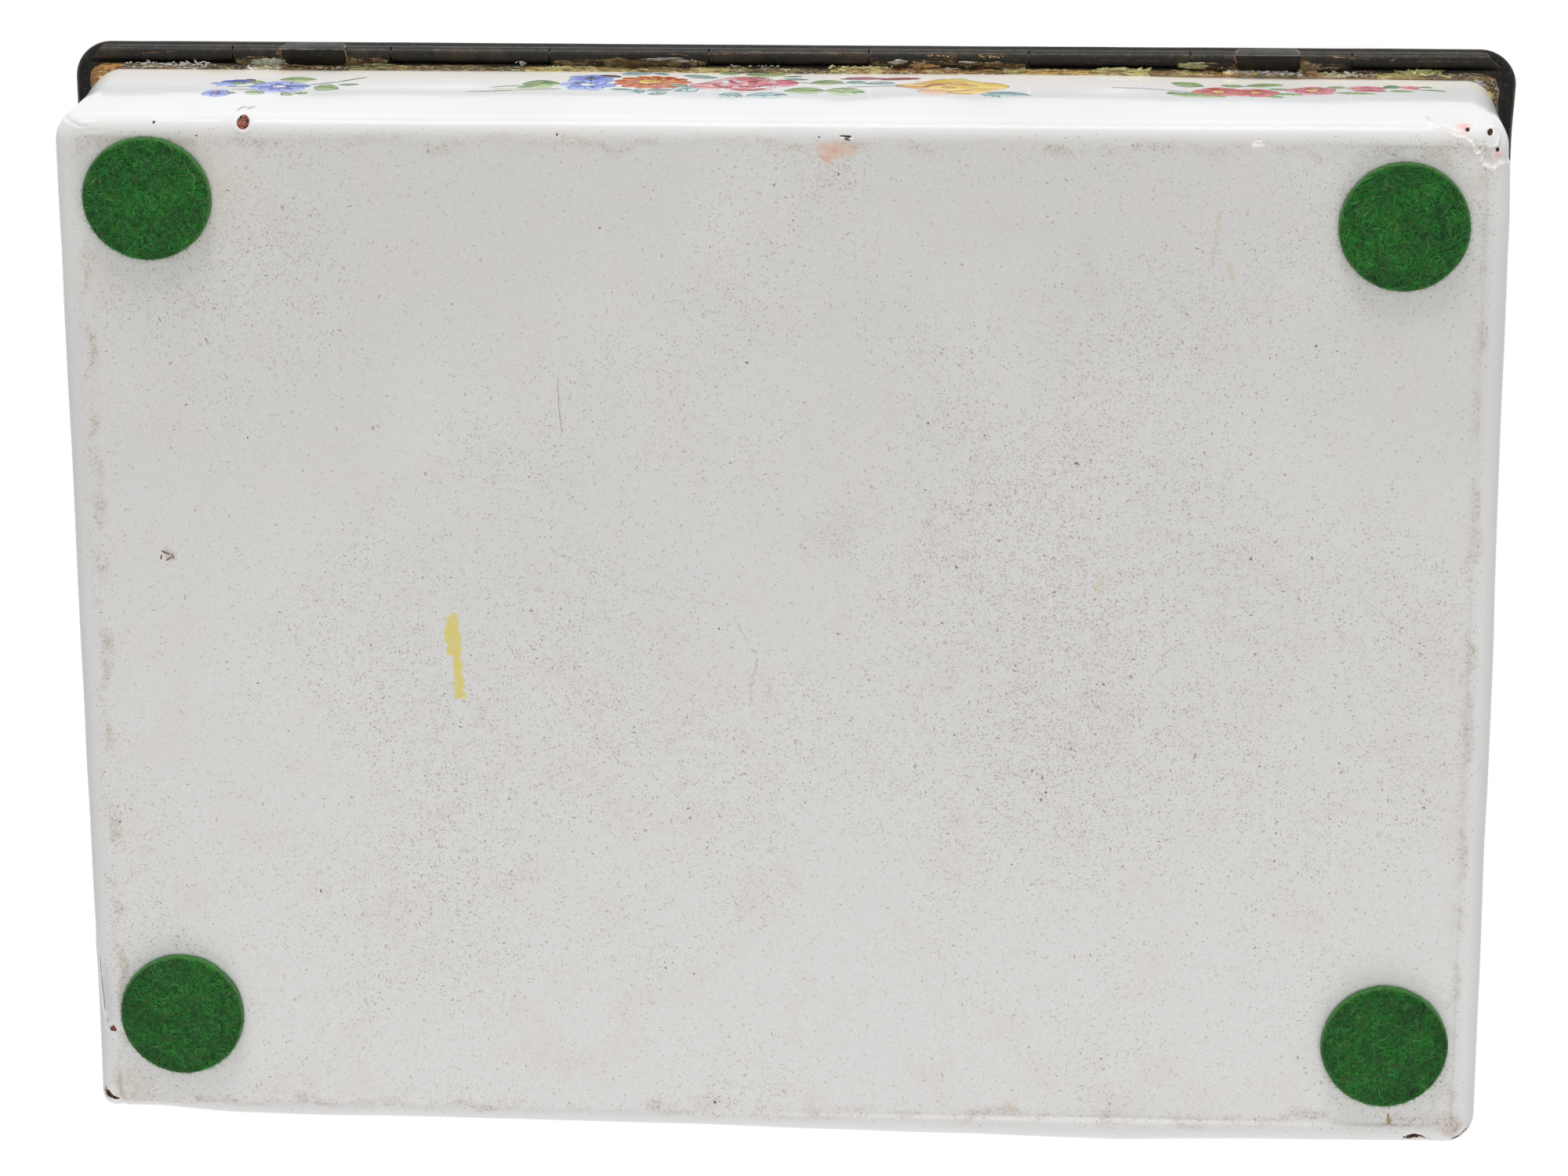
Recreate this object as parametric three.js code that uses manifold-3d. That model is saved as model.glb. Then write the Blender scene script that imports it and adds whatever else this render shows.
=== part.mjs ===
// Enamelled card box with felt dots under it and a nine-knuckle hinge, in millimetres.
// It stands on the felt at Z = 0. Its front is towards -Y, and its hinge runs along the back, towards +Y.
//
// Sections are drawn in two directions: `out` is measured outwards from the outer face of the base walls,
// and `up` is measured upwards from the underside of the piece or from the level that its section names.

import Module from 'manifold-3d';
import * as THREE from 'three';
import { mergeVertices } from 'three/addons/utils/BufferGeometryUtils.js';

const wasm = await Module();
wasm.setup();

// Enamelled pans
const boxWidth = 140;
const boxDepth = 105;
const baseHeight = 22.5;
const enamelWall = 1.5;
const baseFloor = 1.6;
const wallCorner = 2.8;
const leastCorner = 0.4;
const heelRadius = 2.2;
const innerHeelRadius = 2.4;
const mouthRound = 0.55;
const lidHeight = 8.6;
const lidCrown = 1.7;
const lidShoulder = 2.8;
const lidInnerShoulder = 2.0;

// Metal mounts
const sheetGauge = 0.45;
const flangeProjection = 0.8;
const flangeCorner = 0.5;
const skirtDepth = 2.6;
const lipHeight = 1.5;
const lipClearance = 0.3;
const lidSkirtHeight = 3.1;
const rimProjection = 2.5;
const rimCorner = 3.7;
const rimSwell = 0.35;
const beadHeight = 1.35;
const collarHeight = 2.6;
const rimSeatGap = 0.1;

// Cement and glue
const cementBed = 0.3;
const cementGap = 0.1;
const cementBeadOut = 0.34;
const cementBeadDrop = 0.75;
const cementBeadEdge = 0.35;
const cementBeadCorner = 0.7;
const glueFilm = 0.05;

// Hinge
const hingeOut = 1.7;
const knuckleRadius = 0.78;
const boreRadius = 0.5;
const pinRadius = 0.4;
const pinEndRecess = 2.5;
const innerKnuckles = 7;
const endKnuckleRun = 14;
const knuckleSeam = 0.15;
const swingRoom = 0.47;
const solderGap = 0.08;
const lidSaddleWidth = 1.2;
const lidSaddleWaist = 0.8;

// Stops under the second and the eighth knuckle
const lidOpening = THREE.MathUtils.degToRad(100);
const stopLength = 6.4;
const stopHip = 0.42;
const stopFacet = 1.9;
const stopGap = 0.08;
const stopShift = 0.35;
const stopToeOverlap = 0.2;
const stopTubeGap = 0.1;

// Thumbpiece on the front of the lid rim
const thumbWidth = 13;
const thumbReach = 2.2;
const thumbThickness = 1.3;
const thumbRound = 0.3;
// Turning points of its outline seen from above, in shares of its half width and of its reach
const thumbShoulderShares = [0.5, 0.25];
const thumbFlankShares = [0.33, 0.67];
const thumbNoseShare = 1.33;

// Felt dots
const padRadius = 6.35;
const padThickness = 1.2;
const padRound = 0.3;
// Places of the dots as the owner stuck them on, in shares of the half width and the half depth
const padPlaceShares = {
  pad_back_right: [0.870, 0.846],
  pad_back_left: [-0.859, 0.812],
  pad_front_right: [0.871, -0.770],
  pad_front_left: [-0.869, -0.792],
};

// How finely round stretches are divided
const cornerSteps = 6;
const filletSteps = 5;
const mouldingSteps = 6;
const sideSteps = 6;
const crownRings = 5;
const tubeSides = 20;
const padSides = 40;

// Levels worked out from the sizes above
const rimLevel = padThickness + baseHeight;
const partingLevel = rimLevel + sheetGauge;
const lipOut = -(enamelWall + mouthRound / 2);
const lipIn = lipOut - sheetGauge;
const lidSkirtIn = lipOut + lipClearance;
const lidSkirtOut = lidSkirtIn + sheetGauge;
const lidWallIn = lidSkirtOut + cementGap;
const lidWallOut = lidWallIn + enamelWall;
const ledgeUp = knuckleRadius + swingRoom;
const footOut = hingeOut - ledgeUp;
const trayUp = ledgeUp + sheetGauge;
const lidEdgeUp = trayUp + cementBed;
const ledgeEdge = rimProjection - rimSwell;
const collarIn = lidWallOut + cementGap;
const collarOut = collarIn + sheetGauge;
const hingeY = boxDepth / 2 + hingeOut;
const hingeZ = partingLevel;
const innerHingeHalf = boxWidth / 2 - endKnuckleRun;
const knucklePitch = (2 * innerHingeHalf) / innerKnuckles;
const hingeHalf = boxWidth / 2 + flangeProjection;
const stopLean = lidOpening - Math.PI / 2;
const stopDistance = ledgeUp - stopGap;
const frontOut = rimProjection + solderGap + thumbReach;
const backOut = hingeOut + stopDistance * Math.cos(stopLean);

// Finishes

const finish = (color, roughness, metalness) => new THREE.MeshStandardMaterial({ color, roughness, metalness });
const finishes = {
  enamel: () => finish(0xdad8d4, 0.28, 0),
  darkMetal: () => finish(0x2f2a25, 0.45, 0.85),
  pinMetal: () => finish(0x5d5140, 0.4, 0.9),
  cement: () => finish(0x8c7a3c, 0.9, 0),
  felt: () => finish(0x1f6e2c, 1, 0),
};

// Closed bodies

/** Signed volume of a closed triangle mesh: positive when its faces point out. */
function signedVolume(geometry) {
  const place = geometry.getAttribute('position');
  const corners = geometry.index.array;
  const a = new THREE.Vector3();
  const b = new THREE.Vector3();
  const c = new THREE.Vector3();
  let sum = 0;
  for (let i = 0; i < corners.length; i += 3) {
    a.fromBufferAttribute(place, corners[i]);
    b.fromBufferAttribute(place, corners[i + 1]);
    c.fromBufferAttribute(place, corners[i + 2]);
    sum += a.dot(b.cross(c));
  }
  return sum / 6;
}

/** Merge shared corners, drop flattened faces, and turn the faces outwards. */
function closedBody(source) {
  const bare = source.clone();
  bare.deleteAttribute('normal');
  bare.deleteAttribute('uv');
  const geometry = mergeVertices(bare);
  const faces = [];
  const corners = geometry.index.array;
  for (let i = 0; i < corners.length; i += 3) {
    const [a, b, c] = [corners[i], corners[i + 1], corners[i + 2]];
    if (a !== b && b !== c && c !== a) {
      faces.push(a, b, c);
    }
  }
  geometry.setIndex(faces);
  if (signedVolume(geometry) < 0) {
    for (let i = 0; i < faces.length; i += 3) {
      [faces[i + 1], faces[i + 2]] = [faces[i + 2], faces[i + 1]];
    }
    geometry.setIndex(faces);
  }
  geometry.computeVertexNormals();
  return geometry;
}

/** A solid that can be joined to or cut by another. */
function toSolid(source) {
  const geometry = closedBody(source);
  return new wasm.Manifold(new wasm.Mesh({
    numProp: 3,
    vertProperties: Float32Array.from(geometry.getAttribute('position').array),
    triVerts: Uint32Array.from(geometry.index.array),
  }));
}

/** The geometry of a joined or cut solid. */
function fromSolid(solid) {
  const mesh = solid.getMesh();
  const geometry = new THREE.BufferGeometry();
  geometry.setAttribute('position', new THREE.BufferAttribute(mesh.vertProperties, mesh.numProp));
  geometry.setIndex(Array.from(mesh.triVerts));
  geometry.computeVertexNormals();
  return geometry;
}

/** Join two closed geometries into one. */
function joined(first, second) {
  return fromSolid(toSolid(first).add(toSolid(second)));
}

/**
 * Skin a run of loops that all have as many points. A run that closes on itself makes a frame;
 * otherwise each end is closed by a fan of faces to the middle point given for it.
 */
function skin(loops, middles) {
  const count = loops[0].length;
  const points = loops.flat();
  const faces = [];
  const runs = middles ? loops.length - 1 : loops.length;
  for (let i = 0; i < runs; i += 1) {
    const here = i * count;
    const next = ((i + 1) % loops.length) * count;
    for (let j = 0; j < count; j += 1) {
      const k = (j + 1) % count;
      faces.push(here + j, here + k, next + k);
      faces.push(here + j, next + k, next + j);
    }
  }
  if (middles) {
    const last = (loops.length - 1) * count;
    const [first, second] = [points.length, points.length + 1];
    points.push(...middles);
    for (let j = 0; j < count; j += 1) {
      const k = (j + 1) % count;
      faces.push(first, k, j);
      faces.push(second, last + j, last + k);
    }
  }
  const geometry = new THREE.BufferGeometry().setFromPoints(points);
  geometry.setIndex(faces);
  return closedBody(geometry);
}

// Plan loops and sections

/** The loop round the box at a station of a section, anticlockwise seen from above. */
function planLoop({ out, up, corner }, sides = 1) {
  const halfWidth = boxWidth / 2 + out;
  const halfDepth = boxDepth / 2 + out;
  const quarters = [[1, 1], [-1, 1], [-1, -1], [1, -1]];
  const loop = [];
  quarters.forEach(([sideX, sideY], quarter) => {
    for (let step = 0; step <= cornerSteps; step += 1) {
      const angle = (quarter + step / cornerSteps) * (Math.PI / 2);
      const x = sideX * (halfWidth - corner) + corner * Math.cos(angle);
      const y = sideY * (halfDepth - corner) + corner * Math.sin(angle);
      loop.push(new THREE.Vector3(x, y, up));
    }
  });
  if (sides === 1) {
    return loop;
  }
  const perQuarter = cornerSteps + 1;
  return loop.flatMap((point, i) => {
    if ((i + 1) % perQuarter !== 0) {
      return [point];
    }
    const next = loop[(i + 1) % loop.length];
    return Array.from({ length: sides }, (_, step) => point.clone().lerp(next, step / sides));
  });
}

/** A station whose plan corner keeps the same centre as the outer corner of the base walls. */
function station(out, up) {
  return { out, up, corner: Math.max(wallCorner + out, leastCorner) };
}

/** Stations along a round stretch of a section, from one angle to another. */
function roundStations(centreOut, centreUp, radius, from, to) {
  return Array.from({ length: filletSteps + 1 }, (_, step) => {
    const angle = from + ((to - from) * step) / filletSteps;
    return station(centreOut + radius * Math.cos(angle), centreUp + radius * Math.sin(angle));
  });
}

/** A frame that runs round the box with the section that the stations give. */
function frame(stations) {
  return skin(stations.map((place) => planLoop(place)));
}

const quarterTurn = Math.PI / 2;

// The enamelled pans

/** The base: a flat underside, a rounded heel, upright walls, a rounded mouth and a dished inside. */
function basePan() {
  const mouthUp = baseHeight - cementBed;
  const stations = [
    ...roundStations(-heelRadius, heelRadius, heelRadius, -quarterTurn, 0),
    ...roundStations(-mouthRound, mouthUp - mouthRound, mouthRound, 0, quarterTurn),
    ...roundStations(mouthRound - enamelWall, mouthUp - mouthRound, mouthRound, quarterTurn, 2 * quarterTurn),
    ...roundStations(-enamelWall - innerHeelRadius, baseFloor + innerHeelRadius, innerHeelRadius, 0, -quarterTurn),
  ];
  const loops = stations.map((place) => planLoop(place));
  const middles = [new THREE.Vector3(0, 0, 0), new THREE.Vector3(0, 0, baseFloor)];
  return skin(loops, middles);
}

/** Rise of the lid's crown over a point, highest in the middle and nothing over the walls. */
function crownRise(x, y) {
  const acrossShare = x / (boxWidth / 2);
  const alongShare = y / (boxDepth / 2);
  return lidCrown * Math.max(1 - acrossShare * acrossShare, 0) * Math.max(1 - alongShare * alongShare, 0);
}

/** Loops that shrink from a loop to the middle and follow the crown, without the middle itself. */
function crownLoops(edge) {
  const loop = planLoop(edge, sideSteps);
  return Array.from({ length: crownRings }, (_, ring) => {
    const share = 1 - ring / crownRings;
    return loop.map(({ x, y, z }) => new THREE.Vector3(x * share, y * share, z + crownRise(x * share, y * share)));
  });
}

/** The lid: upright walls under a softly domed top, hollow below, measured up from the parting level. */
function lidPan() {
  const topUp = lidHeight;
  const ceilingUp = topUp - enamelWall;
  const innerEdge = station(lidWallIn - lidInnerShoulder, ceilingUp);
  const outerEdge = station(lidWallOut - lidShoulder, topUp);
  const edgeMiddleUp = lidEdgeUp + mouthRound;
  const wall = [
    ...roundStations(innerEdge.out, ceilingUp - lidInnerShoulder, lidInnerShoulder, quarterTurn, 0).slice(1),
    ...roundStations(lidWallIn + mouthRound, edgeMiddleUp, mouthRound, 2 * quarterTurn, 3 * quarterTurn),
    ...roundStations(lidWallOut - mouthRound, edgeMiddleUp, mouthRound, -quarterTurn, 0),
    ...roundStations(outerEdge.out, topUp - lidShoulder, lidShoulder, 0, quarterTurn).slice(0, -1),
  ];
  const loops = [
    ...crownLoops(innerEdge).reverse(),
    ...wall.map((place) => planLoop(place, sideSteps)),
    ...crownLoops(outerEdge),
  ];
  const middles = [new THREE.Vector3(0, 0, ceilingUp + lidCrown), new THREE.Vector3(0, 0, topUp + lidCrown)];
  return skin(loops, middles);
}

// The metal mounts

/** The base mount: a flat flange under the parting level, with a skirt inside the pan and a lip above. */
function baseRim() {
  const flangeEdge = (up) => ({ out: flangeProjection, up, corner: flangeCorner });
  return frame([
    station(lipIn, -skirtDepth),
    station(lipOut, -skirtDepth),
    station(lipOut, 0),
    flangeEdge(0),
    flangeEdge(sheetGauge),
    station(lipOut, sheetGauge),
    station(lipOut, sheetGauge + lipHeight),
    station(lipIn, sheetGauge + lipHeight),
  ]);
}

/** The outer moulding of the lid mount: a swelling bead and a hollow that runs up to the collar. */
function mouldingStations() {
  const beadTop = ledgeUp + beadHeight;
  const bead = new THREE.QuadraticBezierCurve(
    new THREE.Vector2(ledgeEdge, ledgeUp),
    new THREE.Vector2(ledgeEdge + 2 * rimSwell, ledgeUp + beadHeight / 2),
    new THREE.Vector2(ledgeEdge, beadTop),
  );
  const hollow = new THREE.QuadraticBezierCurve(
    new THREE.Vector2(ledgeEdge, beadTop),
    new THREE.Vector2(collarOut, beadTop),
    new THREE.Vector2(collarOut, ledgeUp + collarHeight),
  );
  const points = [...bead.getPoints(mouldingSteps), ...hollow.getPoints(mouldingSteps).slice(1)];
  return points.map(({ x, y }) => ({ out: x, up: y, corner: rimCorner }));
}

/**
 * The lid mount, measured up from the parting level: a folded foot that stands on the base mount, a ledge
 * that passes over the hinge tube, a moulding outside, and a tray, collar and skirt that hold the enamel.
 */
function lidRim() {
  const ledgeStart = station(footOut, ledgeUp);
  return frame([
    station(lidSkirtIn, lidSkirtHeight),
    station(lidSkirtIn, rimSeatGap),
    station(footOut, rimSeatGap),
    ledgeStart,
    ...mouldingStations(),
    station(collarIn, ledgeUp + collarHeight),
    station(collarIn, trayUp),
    station(footOut - sheetGauge, trayUp),
    station(footOut - sheetGauge, rimSeatGap + sheetGauge),
    station(lidSkirtOut, rimSeatGap + sheetGauge),
    station(lidSkirtOut, lidSkirtHeight),
  ]);
}

/** The thumbpiece: a shallow bow drawn from above, with rounded edges, standing out from the rim's bead. */
function thumbPiece() {
  const half = thumbWidth / 2 - thumbRound;
  const reach = thumbReach - 2 * thumbRound;
  const [shoulder, shoulderReach] = [half * thumbShoulderShares[0], reach * thumbShoulderShares[1]];
  const [flank, flankReach] = [half * thumbFlankShares[0], reach * thumbFlankShares[1]];
  const bow = new THREE.Shape();
  bow.moveTo(-half, 0);
  bow.lineTo(half, 0);
  bow.quadraticCurveTo(shoulder, -shoulderReach, flank, -flankReach);
  bow.quadraticCurveTo(0, -reach * thumbNoseShare, -flank, -flankReach);
  bow.quadraticCurveTo(-shoulder, -shoulderReach, -half, 0);
  return new THREE.ExtrudeGeometry(bow, {
    depth: thumbThickness - 2 * thumbRound,
    curveSegments: mouldingSteps,
    bevelSize: thumbRound,
    bevelThickness: thumbRound,
    bevelSegments: 2,
  });
}

// Cement

/** The bead of cement outside the walls of the base, square in the corners where the enamel is round. */
function baseCement() {
  const beadEdge = (up) => ({ out: cementBeadOut, up, corner: cementBeadCorner });
  return frame([
    station(cementGap, -cementBeadDrop),
    beadEdge(-cementBeadEdge),
    beadEdge(-cementGap),
    station(cementGap, -cementGap),
  ]);
}

/** The cement in the folded foot of the lid mount, under the edge of the lid. */
function lidCement() {
  const [inner, outer] = [lidSkirtOut + cementGap, footOut - sheetGauge - cementGap];
  const [lower, upper] = [rimSeatGap + sheetGauge + cementGap, lidEdgeUp - cementGap];
  return frame([station(inner, lower), station(outer, lower), station(outer, upper), station(inner, upper)]);
}

// The hinge: its pieces are drawn round the pin, with X along it, Y backwards and Z up

/** A tube or, without a bore, a rod along X. */
function barAlongX(length, outerRadius, innerRadius = 0) {
  const section = [
    new THREE.Vector2(innerRadius, -length / 2),
    new THREE.Vector2(outerRadius, -length / 2),
    new THREE.Vector2(outerRadius, length / 2),
    new THREE.Vector2(innerRadius, length / 2),
  ];
  if (innerRadius > 0) {
    section.push(section[0].clone());
  }
  return new THREE.LatheGeometry(section, tubeSides).rotateZ(quarterTurn);
}

/** A bar along X with the section given as a list of [back, up] corners. */
function prismAlongX(length, corners) {
  const section = new THREE.Shape(corners.map(([back, up]) => new THREE.Vector2(back, up)));
  const bar = new THREE.ExtrudeGeometry(section, { depth: length, bevelEnabled: false });
  return bar.translate(0, 0, -length / 2).rotateX(quarterTurn).rotateZ(quarterTurn);
}

/** Points on a circle round the pin, from one angle to another, as [back, up] pairs. */
function arcPoints(radius, from, to, steps) {
  return Array.from({ length: steps + 1 }, (_, step) => {
    const angle = from + ((to - from) * step) / steps;
    return [radius * Math.cos(angle), radius * Math.sin(angle)];
  });
}

const tubeMiddle = (knuckleRadius + boreRadius) / 2;

/** The solder between a base knuckle and the edge of the base flange. */
function baseSaddle(length) {
  const edgeBack = flangeProjection + solderGap - hingeOut;
  const rootBack = -knuckleRadius / 2;
  return prismAlongX(length, [
    [edgeBack, 0],
    [edgeBack, -sheetGauge],
    [rootBack, -Math.sqrt(knuckleRadius ** 2 - rootBack ** 2)],
    ...arcPoints(tubeMiddle, -2 * quarterTurn + Math.asin(sheetGauge / tubeMiddle), -2 * quarterTurn, 3),
  ]);
}

/** The solder between a lid knuckle and the ledge above it. */
function lidSaddle(length) {
  const top = ledgeUp - solderGap;
  const spread = Math.asin(lidSaddleWaist / 2 / tubeMiddle);
  return prismAlongX(length, [
    ...arcPoints(tubeMiddle, quarterTurn + spread, quarterTurn - spread, 3),
    [lidSaddleWidth / 2, top],
    [-lidSaddleWidth / 2, top],
  ]);
}

/** Cut the end of a tube that is nearest to `side` on the slant, so that its inner edge is the longest. */
function mitred(tube, length, side) {
  const place = tube.getAttribute('position');
  for (let i = 0; i < place.count; i += 1) {
    if (place.getX(i) * side > length / 4) {
      place.setX(i, place.getX(i) - side * (place.getY(i) + knuckleRadius));
    }
  }
  return tube;
}

/** One knuckle with its solder, ready to place along the hinge. `mitreSide` is 0 for the inner ones. */
function knuckle(length, onLid, mitreSide) {
  const saddleLength = mitreSide ? length - 4 * knuckleRadius : length;
  const saddle = (onLid ? lidSaddle : baseSaddle)(saddleLength);
  saddle.translate((-mitreSide * (length - saddleLength)) / 2, 0, 0);
  const tube = barAlongX(length, knuckleRadius, boreRadius);
  return joined(mitreSide ? mitred(tube, length, mitreSide) : tube, saddle);
}

/**
 * A stop block. Its back facet lies where the ledge of the lid rim comes to rest when the lid is fully open,
 * its lower facet runs forward under the flange, and its ends are hipped.
 */
function stopBlock() {
  const clearRadius = knuckleRadius + stopTubeGap;
  const along = [Math.sin(stopLean), Math.cos(stopLean)];
  const facetTop = [stopDistance * along[1], -stopDistance * along[0]];
  const ridge = [facetTop[0] - stopFacet * along[0], facetTop[1] - stopFacet * along[1]];
  const toeUp = -(sheetGauge + stopTubeGap);
  const toe = [flangeProjection - hingeOut - stopToeOverlap, toeUp];
  const bedEnd = -2 * quarterTurn - Math.asin(toeUp / clearRadius);
  const bed = arcPoints(clearRadius, -stopLean, bedEnd, tubeSides / 4);
  const corners = [...bed, toe, ridge, facetTop];
  const hipped = new Set([toe, facetTop]);
  const endLoop = (side) => corners.map((corner) => {
    const halfLength = stopLength / 2 - (hipped.has(corner) ? stopHip : 0);
    return new THREE.Vector3(side * halfLength, corner[0], corner[1]);
  });
  return prismFromEnds(endLoop(-1), endLoop(1));
}

/** A bar between two end loops that need not be flat: the same faces close both ends. */
function prismFromEnds(first, second) {
  const flat = first.map(({ y, z }) => new THREE.Vector2(y, z));
  const caps = THREE.ShapeUtils.triangulateShape(flat, []);
  const count = first.length;
  const clockwise = THREE.ShapeUtils.isClockWise(flat);
  const faces = [];
  caps.forEach(([a, b, c]) => {
    faces.push(a, c, b);
    faces.push(count + a, count + b, count + c);
  });
  for (let j = 0; j < count; j += 1) {
    const k = (j + 1) % count;
    const [near, far] = clockwise ? [k, j] : [j, k];
    faces.push(near, far, count + far);
    faces.push(near, count + far, count + near);
  }
  const geometry = new THREE.BufferGeometry().setFromPoints([...first, ...second]);
  geometry.setIndex(faces);
  return closedBody(geometry);
}

// Felt

/** A felt dot with softened edges, standing on Z = 0. */
function feltDot() {
  const height = padThickness - glueFilm;
  const section = new THREE.Path();
  section.moveTo(0, 0);
  section.lineTo(padRadius - padRound, 0);
  section.quadraticCurveTo(padRadius, 0, padRadius, padRound);
  section.lineTo(padRadius, height - padRound);
  section.quadraticCurveTo(padRadius, height, padRadius - padRound, height);
  section.lineTo(0, height);
  return new THREE.LatheGeometry(section.getPoints(2), padSides).rotateX(quarterTurn);
}

// Assembly

// The thumbpiece reaches further out than the stops do, so the walls stand back from the middle by half of that
const cardBox = new THREE.Group();
const box = new THREE.Group();
box.position.y = (frontOut - backOut) / 2;
cardBox.add(box);
const hinge = new THREE.Group();
hinge.position.set(0, hingeY, hingeZ);
box.add(hinge);

/** Add a piece to a group under its own name and with its own finish. */
function addPiece(group, name, geometry, makeFinish) {
  const piece = new THREE.Mesh(closedBody(geometry), makeFinish());
  piece.name = name;
  group.add(piece);
  return piece;
}

addPiece(box, 'base_pan', basePan(), finishes.enamel).position.z = padThickness;
addPiece(box, 'base_rim', baseRim(), finishes.darkMetal).position.z = rimLevel;
addPiece(box, 'base_cement', baseCement(), finishes.cement).position.z = rimLevel;
addPiece(box, 'lid_pan', lidPan(), finishes.enamel).position.z = partingLevel;
addPiece(box, 'lid_rim', lidRim(), finishes.darkMetal).position.z = partingLevel;
addPiece(box, 'lid_cement', lidCement(), finishes.cement).position.z = partingLevel;

const thumb = addPiece(box, 'thumbpiece', thumbPiece(), finishes.darkMetal);
const thumbUp = ledgeUp + (beadHeight - thumbThickness) / 2 + thumbRound;
thumb.position.set(0, -(boxDepth / 2 + rimProjection + solderGap + thumbRound), partingLevel + thumbUp);

Object.entries(padPlaceShares).forEach(([name, [acrossShare, alongShare]]) => {
  const pad = addPiece(box, name, feltDot(), finishes.felt);
  pad.position.set((acrossShare * boxWidth) / 2, (alongShare * boxDepth) / 2, 0);
});

// The inner knuckles take turns, base first, between two long ones on the lid
const endLength = hingeHalf - innerHingeHalf - knuckleSeam / 2;
const counts = { base: 0, lid: 0 };
for (let i = -1; i <= innerKnuckles; i += 1) {
  const side = i < 0 ? -1 : Number(i === innerKnuckles);
  const owner = i % 2 === 0 ? 'base' : 'lid';
  const length = side ? endLength : knucklePitch - knuckleSeam;
  counts[owner] += 1;
  const name = `${owner}_knuckle_${counts[owner]}`;
  const piece = addPiece(hinge, name, knuckle(length, owner === 'lid', side), finishes.darkMetal);
  const outerX = side * (hingeHalf - endLength / 2);
  piece.position.x = side ? outerX : (i + 1 / 2) * knucklePitch - innerHingeHalf;
}

addPiece(hinge, 'hinge_pin', barAlongX(2 * (hingeHalf - pinEndRecess), pinRadius), finishes.pinMetal);

const stopX = innerHingeHalf - knucklePitch / 2 - stopShift;
addPiece(hinge, 'stop_block_left', stopBlock(), finishes.darkMetal).position.x = -stopX;
addPiece(hinge, 'stop_block_right', stopBlock(), finishes.darkMetal).position.x = stopX;

export default cardBox;
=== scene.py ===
"""Looks of the enamel card box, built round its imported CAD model.

Sizes are in millimetres until a mesh is made. The hinge is at the back, towards +Y, and the felt dots stand
on Z = 0. Most pieces are batches of rings: a ring is a closed loop of points, and skinning joins each ring to
the next and closes the two ends or the whole run.
"""

from collections import namedtuple

import bmesh
import bpy
import numpy as np
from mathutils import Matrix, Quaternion, Vector


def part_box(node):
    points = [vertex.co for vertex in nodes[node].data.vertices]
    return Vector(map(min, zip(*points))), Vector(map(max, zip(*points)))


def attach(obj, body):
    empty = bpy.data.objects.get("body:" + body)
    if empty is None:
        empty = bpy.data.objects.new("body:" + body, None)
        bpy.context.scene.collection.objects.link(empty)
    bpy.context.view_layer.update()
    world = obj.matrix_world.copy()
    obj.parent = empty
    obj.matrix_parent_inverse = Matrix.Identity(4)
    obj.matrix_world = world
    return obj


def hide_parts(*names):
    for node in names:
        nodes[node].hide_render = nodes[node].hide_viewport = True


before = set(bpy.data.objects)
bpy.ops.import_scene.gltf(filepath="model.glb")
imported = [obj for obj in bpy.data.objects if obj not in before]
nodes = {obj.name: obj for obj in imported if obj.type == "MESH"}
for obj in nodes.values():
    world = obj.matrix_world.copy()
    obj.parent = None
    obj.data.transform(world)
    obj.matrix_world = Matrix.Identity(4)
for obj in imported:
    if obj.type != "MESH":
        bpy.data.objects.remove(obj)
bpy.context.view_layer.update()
rng = np.random.default_rng(1789)

# Sizes of the box, as in the CAD source
MM = 0.001
BOX_WIDTH, BOX_DEPTH = 140, 105
BOX_MIDDLE = np.array([0, 0.964317])
PAD_THICKNESS, PAD_RADIUS = 1.2, 6.35
BASE_HEIGHT, ENAMEL_WALL, BASE_FLOOR = 22.5, 1.5, 1.6
WALL_CORNER, LEAST_CORNER = 2.8, 0.4
HEEL_RADIUS, INNER_HEEL_RADIUS, MOUTH_ROUND = 2.2, 2.4, 0.55
LID_HEIGHT, LID_CROWN, LID_SHOULDER, LID_INNER_SHOULDER = 8.6, 1.7, 2.8, 2.0
SHEET_GAUGE, FLANGE_PROJECTION, FLANGE_CORNER = 0.45, 0.8, 0.5
SKIRT_DEPTH, LIP_HEIGHT, LIP_CLEARANCE, LID_SKIRT_HEIGHT = 2.6, 1.5, 0.3, 3.1
RIM_PROJECTION, RIM_CORNER, RIM_SWELL, RIM_SEAT_GAP = 2.5, 3.7, 0.35, 0.1
BEAD_HEIGHT, COLLAR_HEIGHT, CEMENT_BED, CEMENT_GAP = 1.35, 2.6, 0.3, 0.1
HINGE_OUT, KNUCKLE_RADIUS, SWING_ROOM = 1.7, 0.78, 0.47
RIM_LEVEL = PAD_THICKNESS + BASE_HEIGHT
PARTING_LEVEL = RIM_LEVEL + SHEET_GAUGE
LEDGE_UP = KNUCKLE_RADIUS + SWING_ROOM
BACK_WALL = BOX_MIDDLE[1] + BOX_DEPTH / 2
HINGE_Y = BACK_WALL + HINGE_OUT
QUARTER = np.pi / 2
MOUNT_DENTS = 0.03
# The lid's enamel waves less than that of the base
LID_WAVE = 0.6


# Uneven surfaces


def hashed(cells, seed):
    """One value from -1 to 1 for each whole-number cell: its three numbers are mixed by large odd factors."""
    mixed = cells[..., 0] * 73856093 ^ cells[..., 1] * 19349663 ^ cells[..., 2] * 83492791 ^ seed * 2654435761
    mixed = ((mixed ^ (mixed >> 13)) & 0xFFFFFFFF) * 1274126177
    mixed = mixed ^ (mixed >> 15)
    return (mixed & 0xFFFFF) / 0x80000 - 1


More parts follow.
